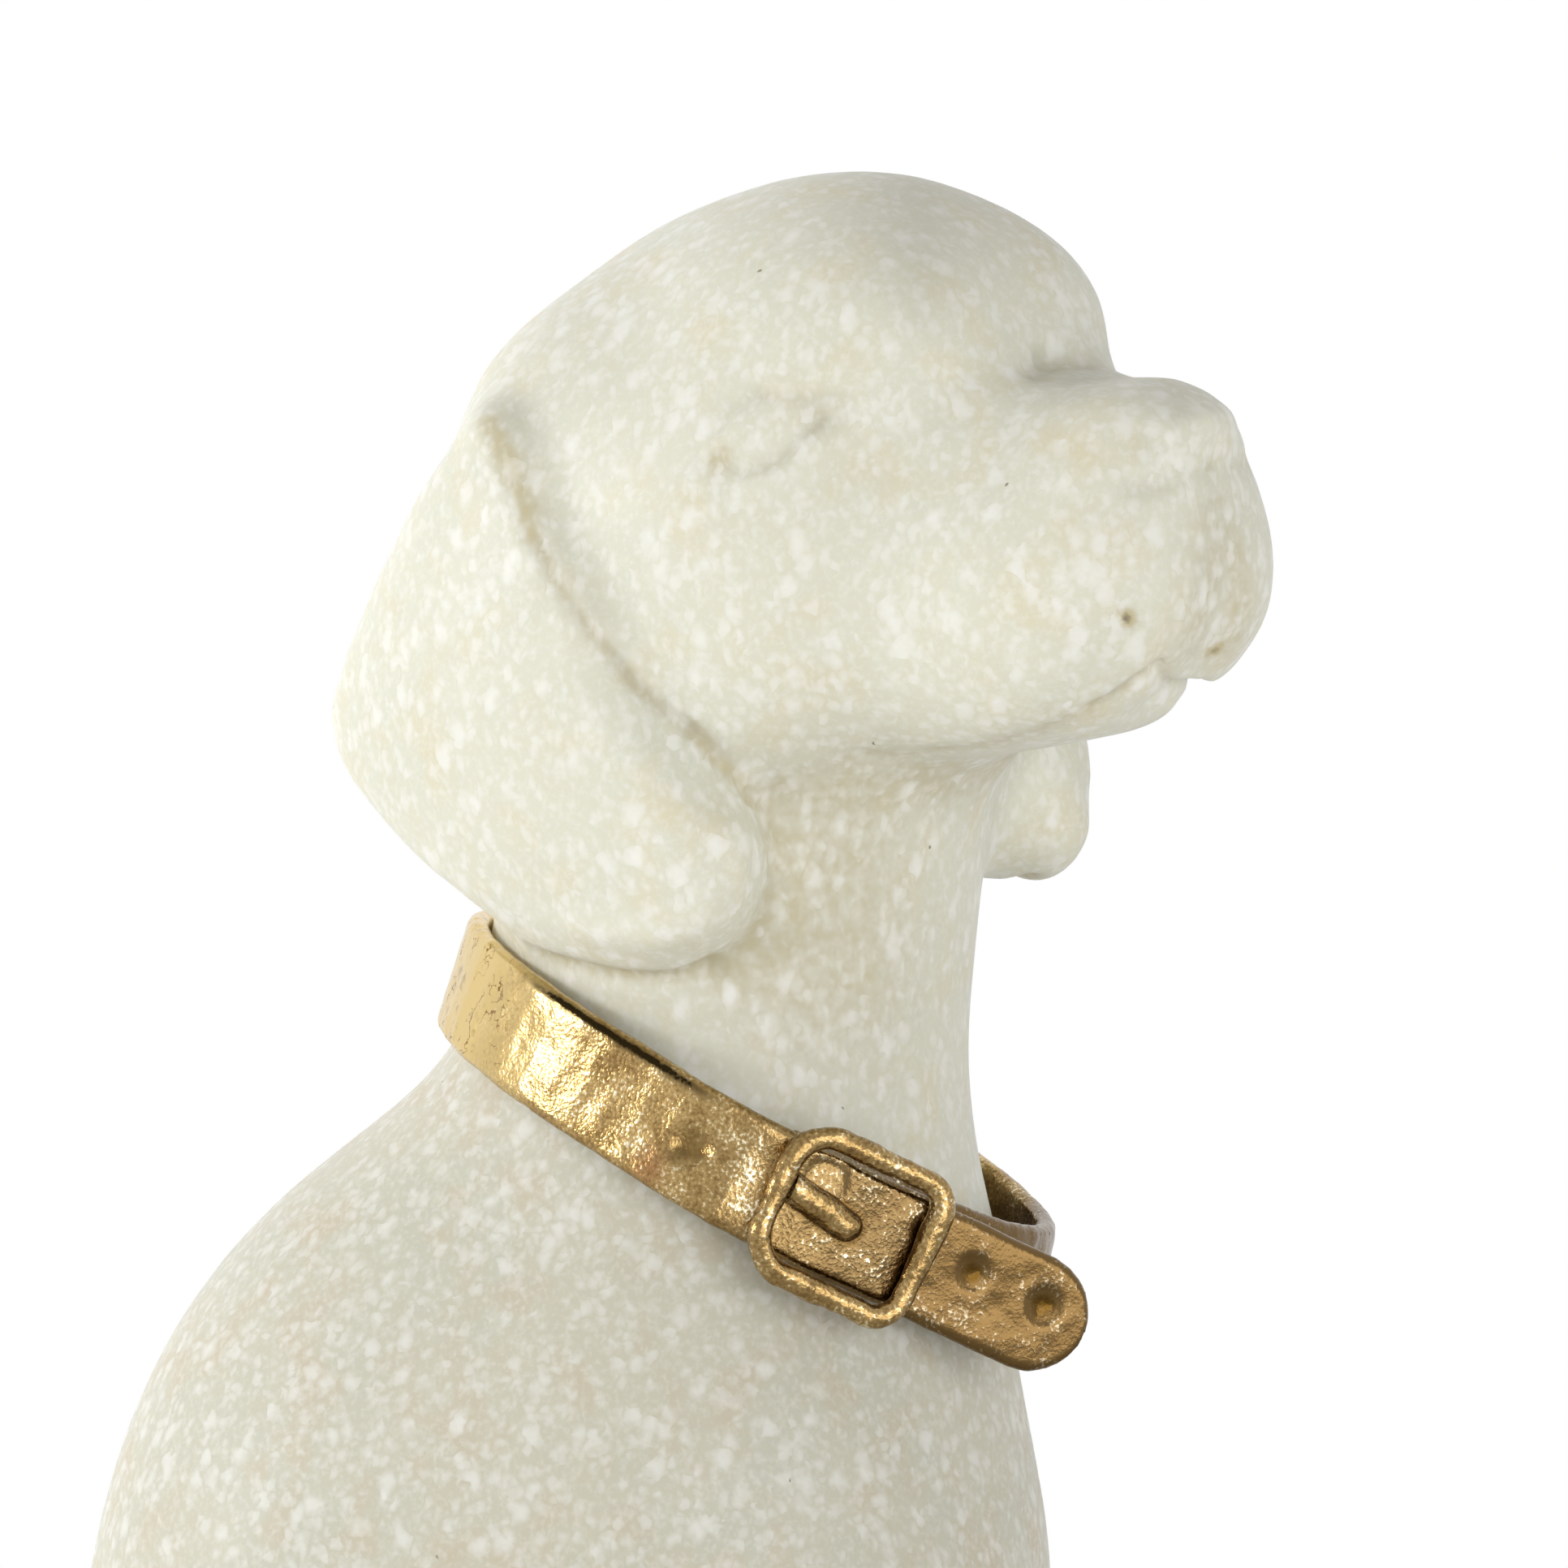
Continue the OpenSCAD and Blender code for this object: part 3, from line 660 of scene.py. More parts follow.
@dataclass
class Casting:
    """A resin casting, modelled on from its CAD form.

    Attributes:
        node: CAD node that it stands for.
        piece: Name of the piece.
        slot: The record's material slot.
        resin: Its finish.
        voxel: Size of the modelling grid, mm.
        smooth: Passes that take the facets off.
        crease: How much deeper creases are pressed.
        strokes: Marks of the modelling tool.
        place: From the strokes' millimetres to the frame's metres.
        bond_up: Direction of the neck at the bond of the castings.
        bond_ease: Distances from the bond at which the form starts to soften and is quite soft, mm.
        crease_reach: How far round a crease its depth is measured, as steps of the grid.
        crease_most: Depth that counts most when a crease is pressed, mm.
        wash_and_shade_from: Depth from which the wash, partly painted shade, stays in a crease, mm.
        wash_and_shade_rate: How much of it stays for each millimetre below that.
        wash_and_shade_most: How much stays at most.
        step: Spacing of the points of a stroke, mm.
    """

    node: str
    piece: str
    slot: str
    resin: Resin
    voxel: float
    smooth: int
    crease: float
    strokes: tuple[Stroke, ...] = ()
    place: Matrix = field(default_factory=lambda: Matrix.Diagonal((MM, MM, MM, 1)))
    bond_up: Point = (0.0, -0.4726, 0.8813)
    bond_ease: Span = (1.0, 4.0)
    crease_reach: int = 40
    crease_most: float = 0.8
    wash_and_shade_from: float = 0.15
    wash_and_shade_rate: float = 0.8
    wash_and_shade_most: float = 0.3
    step: float = 2.0

    def build(self) -> None:
        """Models the casting and dresses it."""
        obj = cad_copy(self.node, self.piece)
        self.close(obj)
        apply(obj, "REMESH", mode="VOXEL", voxel_size=self.voxel * MM, use_smooth_shade=True)
        self.soften(obj.data)
        self.model(obj.data)
        finish_piece(obj, self.resin.build(), self.slot, self.node)

    def close(self, obj: bpy.types.Object) -> None:
        """Leaves the form as it is; a hollow casting closes its inside here."""

    def soften(self, mesh: bpy.types.Mesh) -> None:
        """Takes the facets off, apart from the rim of the bond, which stays sharp under the strap.

        Args:
            mesh: Mesh of the casting.
        """
        height = np.abs((places(mesh) - np.array(NECK_AT)) @ np.array(self.bond_up)) / MM
        even_out(mesh, self.smooth, ramp(height, *self.bond_ease))

    def model(self, mesh: bpy.types.Mesh) -> None:
        """Carves the strokes, presses the creases, and stains both with the wash, which is partly painted
        shade.

        Args:
            mesh: Mesh of the casting.
        """
        stain_and_shade = np.zeros(len(mesh.vertices))
        for stroke in self.strokes:
            for sign in stroke.side.value:
                stain_and_shade = np.maximum(stain_and_shade, self.carve(mesh, stroke, sign) * stroke.stain_and_shade)
        hollow = sunk(mesh, self.crease_reach)
        press = np.clip(hollow, 0, self.crease_most) * self.crease * MM
        put(mesh, places(mesh) - places(mesh, "normal") * press[:, None])
        # Painted shade, with the wash, stays in a crease by its depth.
        stain_and_shade = np.maximum(stain_and_shade, np.clip((hollow - self.wash_and_shade_from) * self.wash_and_shade_rate, 0, self.wash_and_shade_most))
        keep_attribute(mesh, STAIN_AND_SHADE, averaged(mesh, stain_and_shade[:, None], 2)[:, 0])

    def carve(self, mesh: bpy.types.Mesh, stroke: Stroke, sign: int) -> np.ndarray:
        """Carves one stroke on one side.

        Args:
            mesh: Mesh of the casting.
            stroke: The stroke.
            sign: Sign of x on that side.

        Returns:
            How much of the mark each vertex got, from 0 to 1.
        """
        co, normal = places(mesh), places(mesh, "normal")
        corners = [self.place @ Vector((sign * x, y, z)) for x, y, z in stroke.path]
        path = self.laid(co, normal, corners)
        reach = 3 * stroke.width * MM
        near = np.all((co > path.min(axis=0) - reach) & (co < path.max(axis=0) + reach), axis=1)
        away = np.full(near.sum(), 1.0)
        for a, b in zip(path, path[1:]):
            along = b - a
            share = np.clip((co[near] - a) @ along / max(along @ along, 1e-12), 0, 1)
            away = np.minimum(away, np.linalg.norm(co[near] - a - share[:, None] * along, axis=1))
        mark = np.zeros(len(co))
        mark[near] = np.exp(-((away / (stroke.width * MM)) ** 2))
        put(mesh, co - normal * (mark * stroke.depth * MM)[:, None])
        return mark

    def laid(self, co: np.ndarray, normal: np.ndarray, corners: list[Vector]) -> np.ndarray:
        """Lays a stroke's path on the surface.

        Args:
            co: Places of the casting's vertices.
            normal: Their normals.
            corners: Points near the surface that the path goes through.

        Returns:
            Points on the surface, about a step apart.
        """
        points = [corners[-1]]
        for a, b in zip(corners, corners[1:]):
            count = max(round((b - a).length / (self.step * MM)), 1)
            points[-1:-1] = [a.lerp(b, i / count) for i in range(count)]
        laid = np.array(points)
        near = [int(np.argmin(((co - c) ** 2).sum(axis=1))) for c in laid]
        off = ((laid - co[near]) * normal[near]).sum(axis=1)
        return laid - normal[near] * off[:, None]


@dataclass
class HollowCasting(Casting):
    """A casting whose inside is left out of the looks, because its plug and felt close it.

    Attributes:
        bore: Radius of the pouring hole, with some to spare, mm.
        bore_span: Heights between which the hole's wall is taken out, mm.
        inside: A point near the wall of the hollow, m.
    """

    bore: float = 13.6
    bore_span: Span = (2.1, 13.0)
    inside: Point = (0.0, 0.03, 0.06)

    def close(self, obj: bpy.types.Object) -> None:
        """Takes out the hollow and closes the hole in the base.

        Args:
            obj: The casting.
        """
        mesh = obj.data
        only(obj)
        bpy.ops.object.mode_set(mode="EDIT")
        bpy.ops.mesh.select_mode(type="FACE")
        bpy.ops.mesh.select_all(action="DESELECT")
        bpy.ops.object.mode_set(mode="OBJECT")
        bottom, top = self.bore_span
        for face in mesh.polygons:
            c = face.center
            face.select = bottom * MM < c.z < top * MM and math.hypot(c.x, c.y) < self.bore * MM
        bpy.ops.object.mode_set(mode="EDIT")
        bpy.ops.mesh.delete(type="FACE")
        bpy.ops.mesh.select_mode(type="VERT")
        bpy.ops.mesh.select_all(action="DESELECT")
        bpy.ops.object.mode_set(mode="OBJECT")
        near = int(np.argmin(np.linalg.norm(places(mesh) - np.array(self.inside), axis=1)))
        mesh.vertices[near].select = True
        bpy.ops.object.mode_set(mode="EDIT")
        bpy.ops.mesh.select_linked()
        bpy.ops.mesh.delete(type="VERT")
        bpy.ops.mesh.select_all(action="SELECT")
        bpy.ops.mesh.fill_holes(sides=0)
        bpy.ops.mesh.select_all(action="SELECT")
        bpy.ops.mesh.normals_make_consistent(inside=False)
        bpy.ops.object.mode_set(mode="OBJECT")


@dataclass(frozen=True)
class HeadPose:
    """Where the head stands on the neck.

    Attributes:
        at: Middle of the head, mm.
        turn: Turn to the dog's right, degrees.
        tilt: Tilt to the dog's right, degrees.
    """

    at: Point = (0.0, -50.0, 250.0)
    turn: float = 33.0
    tilt: float = 4.0

    def matrix(self) -> Matrix:
        """Gives the way from the head's own millimetres to the frame's metres.

        Returns:
            A matrix that moves and scales.
        """
        turn = Matrix.Rotation(math.radians(-self.turn), 4, "Z")
        tilt = Matrix.Rotation(math.radians(-self.tilt), 4, "Y")
        return Matrix.Diagonal((MM, MM, MM, 1)) @ Matrix.Translation(self.at) @ (turn @ tilt)


@dataclass
class Collar:
    """The buckled collar: strap, buckle and prong under one coat of leaf.

    Its angles are degrees round the neck, from the throat over the dog's right. Where two are given,
    what they belong to starts at the first and is full at the second.

    Attributes:
        leaf: Its finish.
        slope: Slope of the collar, low at the throat, degrees.
        lump_mm: Size of the lumps in the leaf.
        crumple_mm: Size of the crumples in it.
        bole_at: Where the bole shows through the leaf, m.
        bole_mm: Radius of that place.
        bole_show: How clearly it shows there.
        hole_reach: How far round a hole its depth is measured, as steps of the grid.
        hole_from: Depth from which it counts as one, mm.
        hole_wide: Steps of the grid by which its edge is eased.
        sag: Passes that soften a hole.
        fill: Passes that fill one.
        window_at: Angle of the hole in the buckle's window, which is filled.
        window_wide: How far round the neck that hole reaches, degrees.
        tail_fill: How far the holes of the loose end are filled.
        tail_at: Angles of the loose end, where it comes out from the buckle.
        tail_shade: How much darker than the rest the loose end is painted, as shade.
        shade_at: Angles of the painted shade that darkens the leaf towards the buckle.
        far_shade_at: The same on the far side.
        flat_at: Angles of the flat leaf towards the nape.
        far_flat_at: The same on the far side.
        reflection_at: Angles of the painted dark reflection on the upper edge, behind the buckle.
        far_reflection_at: The same at its other end.
        reflection_lean: How far the reflecting part of the edge faces up, and how far it may differ, as
            sines.
        buckle_shade: How much painted shade darkens the buckle at most.
        pool_and_shade_mm: How far from the other pieces the size pools and shade is painted.
        pool_and_shade_show: How clearly it shows there.
    """

    leaf: GoldLeaf = GoldLeaf()
    slope: float = 28.2
    lump_mm: float = 6.0
    crumple_mm: float = 1.8
    bole_at: Point = (-0.037, -0.0375, 0.1955)
    bole_mm: float = 3.0
    bole_show: float = 0.5
    hole_reach: int = 60
    hole_from: float = 0.08
    hole_wide: int = 14
    sag: int = 24
    fill: int = 120
    window_at: float = 67.7
    window_wide: float = 7.0
    tail_fill: float = 0.55
    tail_at: Span = (52.0, 44.0)
    tail_shade: float = 0.9
    shade_at: Span = (95.0, 60.0)
    far_shade_at: Span = (330.0, 350.0)
    flat_at: Span = (118.0, 150.0)
    far_flat_at: Span = (330.0, 290.0)
    reflection_at: Span = (85.0, 100.0)
    far_reflection_at: Span = (142.0, 127.0)
    reflection_lean: Span = (0.36, 0.26)
    buckle_shade: float = 0.35
    pool_and_shade_mm: float = 1.3
    pool_and_shade_show: float = 0.6

    def build(self) -> None:
        """Models and dresses the three pieces."""
        clouds = bpy.data.textures.new("strap_lumps", "CLOUDS")
        clouds.noise_scale = self.lump_mm * MM
        crumple = bpy.data.textures.new("leaf_crumple", "CLOUDS")
        crumple.noise_scale = self.crumple_mm * MM
        pieces = {}
        for node, piece, voxel, lumps, folds in (
            ("collar_strap", "strap_leafed", 0.4, 0.4, 0.1),
            ("buckle_frame", "buckle_leafed", 0.22, 0.9, 0.22),
            ("buckle_prong", "prong_leafed", 0.16, 0.5, 0.2),
        ):
            obj = cad_copy(node, piece)
            apply(obj, "REMESH", mode="VOXEL", voxel_size=voxel * MM, use_smooth_shade=True)
            apply(obj, "SMOOTH", factor=0.5, iterations=4)
            if node == "collar_strap":
                self.dimple(obj.data)
            for texture, high in ((clouds, lumps), (crumple, folds)):
                apply(obj, "DISPLACE", texture=texture, texture_coords="GLOBAL", strength=high * MM)
            pieces[node] = obj
        material = self.leaf.build()
        for node, obj in pieces.items():
            others = [places(other.data) for other in pieces.values() if other is not obj]
            self.mark(obj.data, node == "collar_strap", np.concatenate(others))
            finish_piece(obj, material, "gold_leaf", node)

    def dimple(self, mesh: bpy.types.Mesh) -> None:
        """Lets the leaf sink softly into the strap's holes, on its outer face only.

        Args:
            mesh: Mesh of the strap.
        """
        away = (places(mesh) - np.array(NECK_AT)) * (1, 1, 0)
        outer = (places(mesh, "normal") * away).sum(axis=1) > -0.3 * np.linalg.norm(away, axis=1)
        hole = (sunk(mesh, self.hole_reach) > self.hole_from) & outer
        soft = np.clip(3 * averaged(mesh, hole.astype(float)[:, None], self.hole_wide), 0, 1)[:, 0]
        even_out(mesh, self.sag, soft)
        turn = self.turn(places(mesh))
        window = np.exp(-(((turn - self.window_at) / self.window_wide) ** 2))
        tail = self.tail_fill * (turn < self.tail_at[0])
        even_out(mesh, self.fill, soft * np.maximum(window, tail))

    def axes(self) -> tuple[np.ndarray, np.ndarray]:
        """Gives the collar's directions.

        Returns:
            Ahead to the throat, and up the neck.
        """
        slope = math.radians(self.slope)
        ahead = np.array((0.0, -math.cos(slope), -math.sin(slope)))
        return ahead, np.array((0.0, -math.sin(slope), math.cos(slope)))

    def turn(self, co: np.ndarray) -> np.ndarray:
        """Tells how far round the neck points are, from the throat over the dog's right.

        Args:
            co: Places of the points.

        Returns:
            Degrees from 0 to 360.
        """
        away = co - np.array(NECK_AT)
        return np.degrees(np.arctan2(-away[:, 0], away @ self.axes()[0])) % 360

    def mark(self, mesh: bpy.types.Mesh, strap: bool, others: np.ndarray) -> None:
        """Notes where the leaf is flat, where shade and a dark reflection are painted, and where size and
        bole show.

        Args:
            mesh: Mesh of the piece.
            strap: Whether it is the strap, which alone is flat, has the painted dark reflection and shows
                the bole.
            others: Places on the other two pieces, beside which the size pools and shade is painted.
        """
        co = places(mesh)
        turn = self.turn(co)
        tree = KDTree(len(others))
        for i, c in enumerate(others):
            tree.insert(c, i)
        tree.balance()
        gap = np.array([tree.find(c)[2] for c in co]) / MM
        # Painted shade, with some size, beside the other pieces.
        pool_and_shade = self.pool_and_shade_show * ramp(gap, self.pool_and_shade_mm, 0)
        loose = self.tail_shade * ramp(turn, *self.tail_at)
        # Painted shade, with some size, darkens creases and stands in the middle of a hole, most of all on
        # the loose end.
        deep = np.clip(2.6 * sunk(mesh, 160) - 0.25, 0, 0.6) * (0.3 + 0.7 * loose)
        hollow = sunk(mesh, 40)
        crease = np.clip(hollow, 0, 0.25) if strap else np.clip(2 * hollow, 0, 0.5)
        keep_attribute(mesh, STAIN_AND_SHADE, crease + deep + pool_and_shade)
        # Painted shade towards the buckle and on the loose end.
        front = ramp(turn, *self.shade_at) + ramp(turn, *self.far_shade_at) + loose
        keep_attribute(mesh, FRONT, front if strap else np.minimum(front, self.buckle_shade))
        # The flat leaf towards the nape is paler, partly as painted reflection.
        flat = ramp(turn, *self.flat_at) * ramp(turn, *self.far_flat_at)
        # A dark reflection is painted on the strap's upper edge, where its outside turns over.
        lean, differ = self.reflection_lean
        edge = averaged(mesh, places(mesh, "normal"), 16) @ self.axes()[1]
        side = ramp(turn, *self.reflection_at) * ramp(turn, *self.far_reflection_at)
        rim = np.exp(-(((edge - lean) / differ) ** 2)) * side
        away = np.linalg.norm(co - np.array(self.bole_at), axis=1)
        bole = self.bole_show * np.exp(-((away / (self.bole_mm * MM)) ** 2))
        for name, values in ((FLAT, flat), (DARK_REFLECTION, rim), (BOLE, bole)):
            keep_attribute(mesh, name, values * strap)


@dataclass
class Base:
    """What is under the dog: the plug in the pouring hole and the felts.

    Attributes:
        felt: Finish of the felts.
        cork: Finish of the plug.
        fringe: Easing of a felt's cut edge, mm.
        chamfer: Easing of the plug's edges, mm.
    """

    felt: Flecked = Flecked("pressed_wool_felt", "#8A877C", "#A5A296", 1.4, fuzz=0.5)
    cork: Flecked = Flecked("cork", "#B98F5E", "#8A623A", 2.6)
    fringe: float = 0.4
    chamfer: float = 0.5

    def build(self) -> None:
        """Models and dresses the plug and the felts."""
        plug = cad_copy("base_plug", "plug_cork")
        apply(plug, "BEVEL", width=self.chamfer * MM, segments=2, limit_method="ANGLE")
        finish_piece(plug, self.cork.build(), "cork", "base_plug")
        material = self.felt.build()
        feet = ("felt_front_left", "felt_front_right", "felt_hind_left", "felt_hind_right")
        for node in ("seat_felt", *feet):
            low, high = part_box(node)
            middle, size = (low + high) / 2, high - low
            bpy.ops.object.select_all(action="DESELECT")
            bpy.ops.mesh.primitive_cylinder_add(
                vertices=96, radius=size.x / 2, depth=size.z, location=middle, end_fill_type="NGON"
            )
            disc = bpy.context.object
            disc.name = node + "_wool"
            bpy.ops.object.transform_apply(location=True, rotation=True, scale=True)
            apply(disc, "BEVEL", width=self.fringe * MM, segments=3, limit_method="ANGLE")
            finish_piece(disc, material, "felt", node)


@dataclass
class Studio:
    """White floor, soft light and the photograph's camera.

    Attributes:
        target: What the middle of the frame shows, m.
        azimuth: Direction of view round the dog, degrees.
        elevation: Height of the view, degrees.
        distance: From the camera to the target, m.
        across: Width of the frame at the target, m.
        sensor: Width of the camera's sensor, mm.
        paper: Colour of the floor.
        sky: Colour of the light from all round.
        sky_strength: Strength of that light.
        fade: Distances at which the floor starts to be plain white and is so all over, m.
    """

    target: Point = (0.0, -0.050, 0.2348)
    azimuth: float = 85.0
    elevation: float = 5.0
    distance: float = 1.4
    across: float = 0.1789
    sensor: float = 36.0
    paper: str = "#F6F6F4"
    sky: str = "#FFFAF0"
    sky_strength: float = 0.34
    fade: Span = (0.2, 0.8)

    def axes(self) -> tuple[Vector, Vector, Vector]:
        """Gives the view's directions.

        Returns:
            Into the picture, to its right, and up it.
        """
        a, e = math.radians(self.azimuth), math.radians(self.elevation)
        into = Vector((math.sin(a) * math.cos(e), math.cos(a) * math.cos(e), -math.sin(e)))
        right = Vector((math.cos(a), -math.sin(a), 0.0))
        return into, right, right.cross(into)

    def build(self) -> None:
        """Sets up the floor, the world, the lamps and the camera."""
        bpy.context.scene.view_settings.view_transform = "Standard"
        self.floor()
        self.world()
        self.lamps()
        self.camera()

    def lamps(self) -> None:
        """Hangs the soft lamps round the target, in metres along the view's directions."""
        into, right, up = self.axes()
        # The last two say whether a lamp lights matt surfaces and whether it shows in glossy ones.
        for name, place, watts, size, matt, gloss in (
            ("key", -0.3 * into - 0.96 * right + 0.15 * up, 5.0, 0.2, True, False),
            ("glint", -0.3 * into - 0.96 * right + 0.2 * up, 2.6, 0.16, False, True),
            ("fill", -0.82 * into + 0.52 * right - 0.15 * up, 6.5, 0.9, True, True),
            ("edge", 0.45 * into - 0.7 * right + 0.5 * up, 3.0, 0.6, True, False),
        ):
            data = bpy.data.lights.new(name, "AREA")
            data.energy = watts
            data.size = size
            lamp = bpy.data.objects.new(name, data)
            lamp.location = Vector(self.target) + place
            lamp.rotation_euler = (-place).to_track_quat("-Z", "Y").to_euler()
            lamp.visible_diffuse = matt
            lamp.visible_glossy = gloss
            bpy.context.scene.collection.objects.link(lamp)

    def camera(self) -> None:
        """Sets up the photograph's camera."""
        into = self.axes()[0]
        data = bpy.data.cameras.new("camera")
        data.sensor_width = self.sensor
        data.lens = self.sensor * self.distance / self.across
        data.clip_end = 100.0
        camera = bpy.data.objects.new("camera", data)
        camera.location = Vector(self.target) - self.distance * into
        camera.rotation_euler = into.to_track_quat("-Z", "Y").to_euler()
        bpy.context.scene.collection.objects.link(camera)
        bpy.context.scene.camera = camera

    def floor(self) -> None:
        """Lays a white floor that keeps the shadow near the dog and is plain white further off."""
        bpy.ops.object.select_all(action="DESELECT")
        bpy.ops.mesh.primitive_plane_add(size=60.0, location=(0, 0, 0))
        floor = bpy.context.object
        floor.name = "floor"
        material, node = new_material("white_floor")
        place = node("ShaderNodeTexCoord").outputs["Object"]
        far = node("ShaderNodeVectorMath", {0: place}, operation="LENGTH").outputs["Value"]
        away = node(
            "ShaderNodeMapRange", {"Value": far, "From Min": self.fade[0], "From Max": self.fade[1]},
            interpolation_type="SMOOTHSTEP",
        ).outputs[0]
        plain = node("ShaderNodeMath", {0: away, 1: self.seen(node)}, operation="MULTIPLY").outputs[0]
        matt = node("ShaderNodeBsdfDiffuse", {"Color": linear(self.paper)})
        white = node("ShaderNodeEmission", {"Color": (1, 1, 1, 1), "Strength": 1.0})
        mixed = node("ShaderNodeMixShader", {0: plain, 1: matt.outputs[0], 2: white.outputs[0]})
        node("ShaderNodeOutputMaterial", {"Surface": mixed.outputs[0]})
        floor.data.materials.append(material)

    def seen(self, node: AddNode) -> Socket:
        """Tells the rays that see the backdrop from those that light the dog.

        Args:
            node: Adds a node to the floor or the world.

        Returns:
            A socket that is 1 on rays from the camera, a gloss or a see-through surface.
        """
        path = node("ShaderNodeLightPath")
        seen = path.outputs["Is Camera Ray"]
        for ray in ("Is Glossy Ray", "Is Transmission Ray"):
            seen = node("ShaderNodeMath", {0: seen, 1: path.outputs[ray]}, operation="MAXIMUM").outputs[0]
        return seen

    def world(self) -> None:
        """Makes the surroundings white to the eye and softly bright as light."""
        world = bpy.data.worlds.new("studio")
        bpy.context.scene.world = world
        world.use_nodes = True
        world.node_tree.nodes.clear()
        node = partial(add, world.node_tree)
        light = node("ShaderNodeBackground", {"Color": linear(self.sky), "Strength": self.sky_strength})
        white = node("ShaderNodeBackground", {"Color": (1, 1, 1, 1), "Strength": 1.0})
        mixed = node("ShaderNodeMixShader", {0: self.seen(node), 1: light.outputs[0], 2: white.outputs[0]})
        node("ShaderNodeOutputWorld", {"Surface": mixed.outputs[0]})


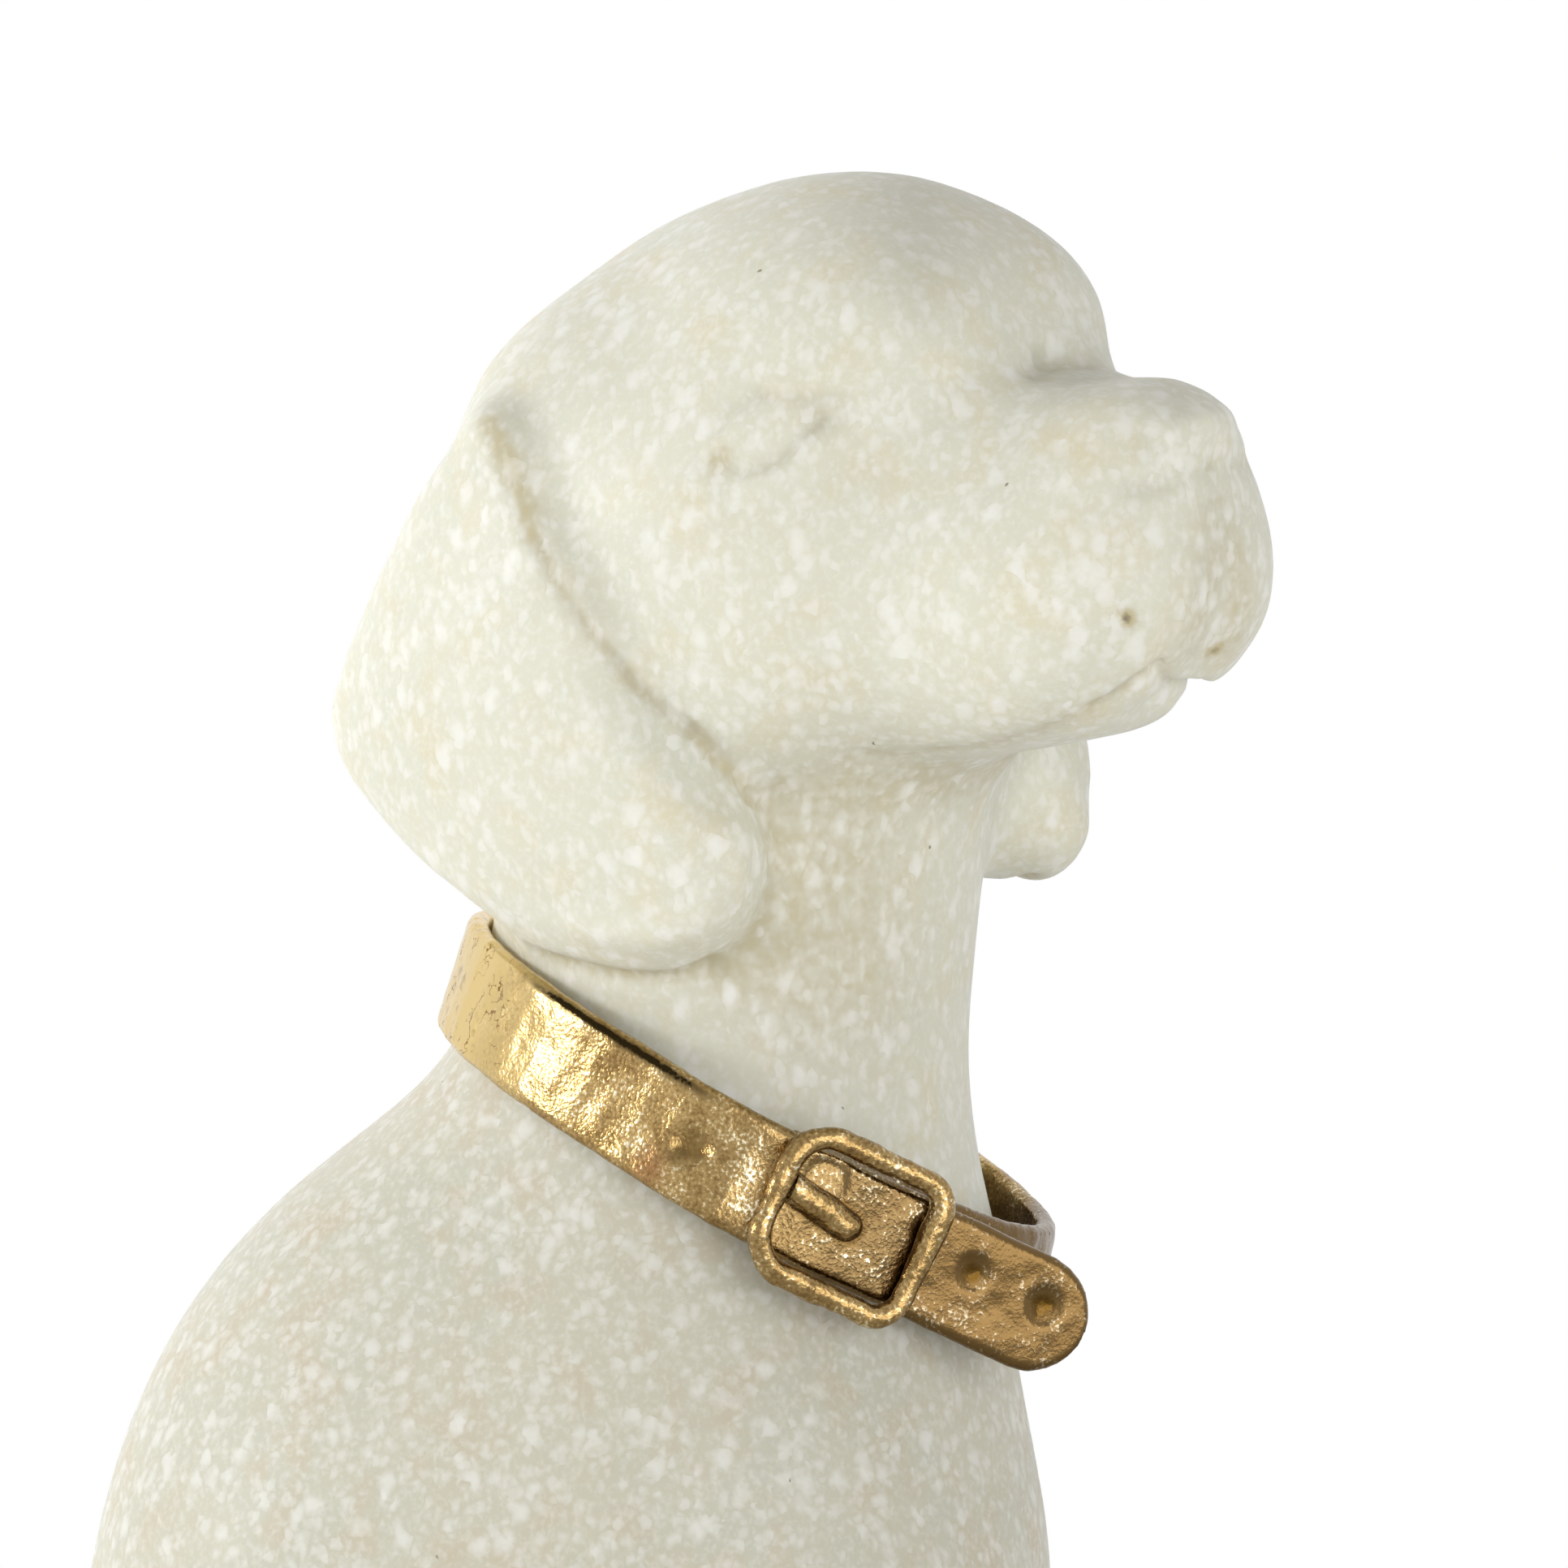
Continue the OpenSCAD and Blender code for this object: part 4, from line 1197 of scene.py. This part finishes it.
FACE = (
    # Eye: a low dome, the crisp edge of the lower lid over its rim, the soft upper lid, and washed corners.
    Stroke(((30.0, -18.5, 28.5), (27.0, -23.0, 30.5)), 3.0, -0.6),
    Stroke(((31.0, -19.0, 25.0), (29.5, -22.0, 25.5), (28.0, -23.5, 26.5), (26.5, -25.0, 28.5),
            (25.0, -27.0, 30.5)), 0.8, 0.5, 0.25),
    Stroke(((30.5, -20.5, 23.5), (28.5, -24.5, 24.5), (26.0, -27.0, 27.5)), 1.5, -0.4),
    Stroke(((27.5, -20.0, 33.5), (26.0, -24.5, 33.0), (23.5, -28.0, 33.0)), 1.0, 0.3, 0.2),
    Stroke(((31.5, -16.5, 30.0), (29.5, -17.5, 32.0), (27.5, -20.0, 33.5)), 1.0, 0.3, 0.1),
    Stroke(((31.5, -16.5, 26.0), (31.0, -17.5, 26.5)), 1.7, 0.2, 0.6),
    Stroke(((25.5, -26.0, 30.5), (24.5, -27.0, 31.0)), 1.9, 0.2, 0.4),
    # Mouth: the line under the cheek, the edge of the lower lip, and the notch between the lips in front.
    Stroke(((11.5, -52.5, -2.5), (13.0, -48.0, -4.5), (13.5, -42.5, -6.0), (13.5, -37.0, -7.5),
            (15.0, -29.0, -8.5), (20.0, -25.0, -8.0)), 1.6, 0.25, 0.4),
    Stroke(((8.0, -59.0, 1.5), (9.5, -57.5, 0.5), (10.5, -55.5, -1.0), (11.5, -52.5, -2.5)),
           1.1, 0.75, 0.5, Side.RIGHT),
    Stroke(((0.0, -55.5, -2.3), (3.0, -57.0, -1.0), (6.0, -58.5, 0.5), (8.0, -59.0, 1.5)),
           1.0, 0.8, 0.3, Side.RIGHT),
    Stroke(((-2.0, -54.0, -3.5), (4.0, -53.5, -4.0), (9.0, -51.5, -5.0), (14.0, -46.5, -6.0)),
           2.4, 1.2, 0.0, Side.LEFT),
    Stroke(((-1.0, -55.5, -2.3), (4.0, -54.8, -2.7), (9.0, -52.2, -3.5), (13.0, -48.7, -4.4),
            (17.0, -43.8, -5.3)), 1.0, 2.7, 0.3, Side.LEFT),
    Stroke(((-1.0, -53.5, -3.5), (3.0, -52.5, -4.5)), 1.6, -0.6, 0.0, Side.LEFT),
    # Nose: its lower edge, its tip, and the wash below it.
    Stroke(((9.5, -57.0, 22.0), (4.5, -61.5, 23.0), (0.0, -62.5, 23.5)), 1.4, 0.5, 0.15),
    Stroke(((0.0, -61.0, 28.5), (5.0, -60.0, 28.5)), 2.2, -0.7),
    Stroke(((0.0, -62.5, 18.0), (3.0, -62.0, 10.0), (4.5, -61.0, 4.0)), 4.5, 0.0, 0.35),
    # Stop under the brows.
    Stroke(((0.0, -40.0, 35.5), (5.0, -41.0, 34.5)), 2.0, 0.9),
    # Ear: the valley in front of it filled, its line drawn and washed, its rim raised, and the neck pressed
    # beside it.
    Stroke(((33.5, 14.5, 29.5), (35.0, 12.0, 28.0)), 4.0, -1.4),
    Stroke(((35.0, 12.0, 28.5), (37.0, 7.5, 23.0), (38.0, 4.0, 17.0), (38.5, 1.0, 12.5),
            (38.0, -3.0, 7.0)), 3.2, -1.4, 0.2),
    Stroke(((35.0, 12.0, 28.5), (37.0, 7.5, 23.0), (38.0, 4.0, 17.0)), 1.7, 0.3, 0.65),
    Stroke(((38.0, 4.0, 17.0), (38.5, 1.0, 12.5), (38.0, -3.0, 7.0), (36.0, -7.5, 1.0),
            (32.5, -12.0, -4.0)), 0.9, 0.45, 0.5),
    Stroke(((32.5, -12.0, -4.0), (29.5, -14.5, -8.5), (27.0, -16.0, -12.0)), 1.2, 0.3, 0.75),
    Stroke(((33.0, -17.5, -15.5), (34.0, -17.5, -22.0), (35.5, -14.5, -25.5), (38.0, -9.0, -26.5),
            (39.5, -1.0, -25.5)), 2.6, -0.8, 0.0, Side.RIGHT),
    Stroke(((30.0, -16.0, -27.0), (33.0, -12.0, -29.0), (36.0, -7.0, -29.5)), 3.5, -1.4, 0.0, Side.LEFT),
    Stroke(((33.5, -18.5, -16.5), (34.0, -18.0, -19.5)), 3.2, 0.9, 0.0, Side.LEFT),
    Stroke(((33.5, -16.5, -25.0), (34.0, -15.0, -27.0)), 3.2, -0.4, 0.0, Side.LEFT),
    Stroke(((25.0, -17.0, -12.5), (24.5, -18.0, -18.0), (25.5, -18.0, -23.0), (26.5, -15.5, -29.0),
            (30.0, -11.5, -32.0)), 2.6, 1.2, 0.55, Side.RIGHT),
    Stroke(((30.0, -11.5, -31.5), (33.5, -5.0, -32.0), (35.0, 3.0, -31.0), (34.0, 10.0, -30.0)),
           1.2, 0.8, 0.6),
    # Painted shade, laid as a tan wash, on the neck beside the ear and under the jaw.
    Stroke(((24.0, -17.0, -14.0), (21.0, -18.5, -28.0), (27.0, -14.0, -32.0)),
           6.0, 0.0, 0.45, Side.RIGHT),
    Stroke(((18.0, -22.0, -16.0), (18.0, -20.0, -34.0)), 13.0, 0.0, 0.4, Side.RIGHT),
    Stroke(((11.0, -26.0, -12.0), (3.0, -27.0, -13.0)), 6.0, 0.0, 0.45),
    # Two dark grains in the upper lip.
    Stroke(((14.0, -59.0, 8.5), (13.5, -59.0, 8.0)), 0.7, 0.0, 2.2, Side.RIGHT),
    Stroke(((1.5, -59.5, 2.5), (2.5, -59.5, 2.5)), 0.7, 0.0, 1.9, Side.LEFT),
)

# Lines between the toes of the front and the hind paws, each paw by its middle and radius.
PAWS = tuple(
    Stroke(((x + 0.9 * d, y - r, 7.0), (x + 0.8 * d, y - 0.8 * r, 15.0), (x + 0.6 * d, y - 0.35 * r, 21.0)),
           1.7, 1.7, 0.5)
    for x, y, r in ((21.0, -81.0, 20.0), (46.0, -48.0, 17.0))
    for d in (-5.0, 0.0, 5.0)
)


def main() -> None:
    """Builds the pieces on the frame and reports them."""
    logging.basicConfig(level=logging.INFO, format="%(name)s: %(message)s")
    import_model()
    Casting(
        "head_casting", "head_resin", "resin_head", Resin("marble_resin_head"),
        voxel=0.75, smooth=16, crease=0.2, strokes=FACE, place=HeadPose().matrix(),
    ).build()
    HollowCasting(
        "body_casting", "body_resin", "resin_body",
        Resin(
            "marble_resin_body", body="#D0CEBE", cool="#CCCCBD", warm="#CEC4AF", chip="#E9E9E4",
            chip_mm=2.2, stretch=1.1, show=0.8,
        ),
        voxel=1.35, smooth=24, crease=0.3, strokes=PAWS,
    ).build()
    Collar().build()
    Base().build()
    Studio().build()


if __name__ == "__main__":
    main()
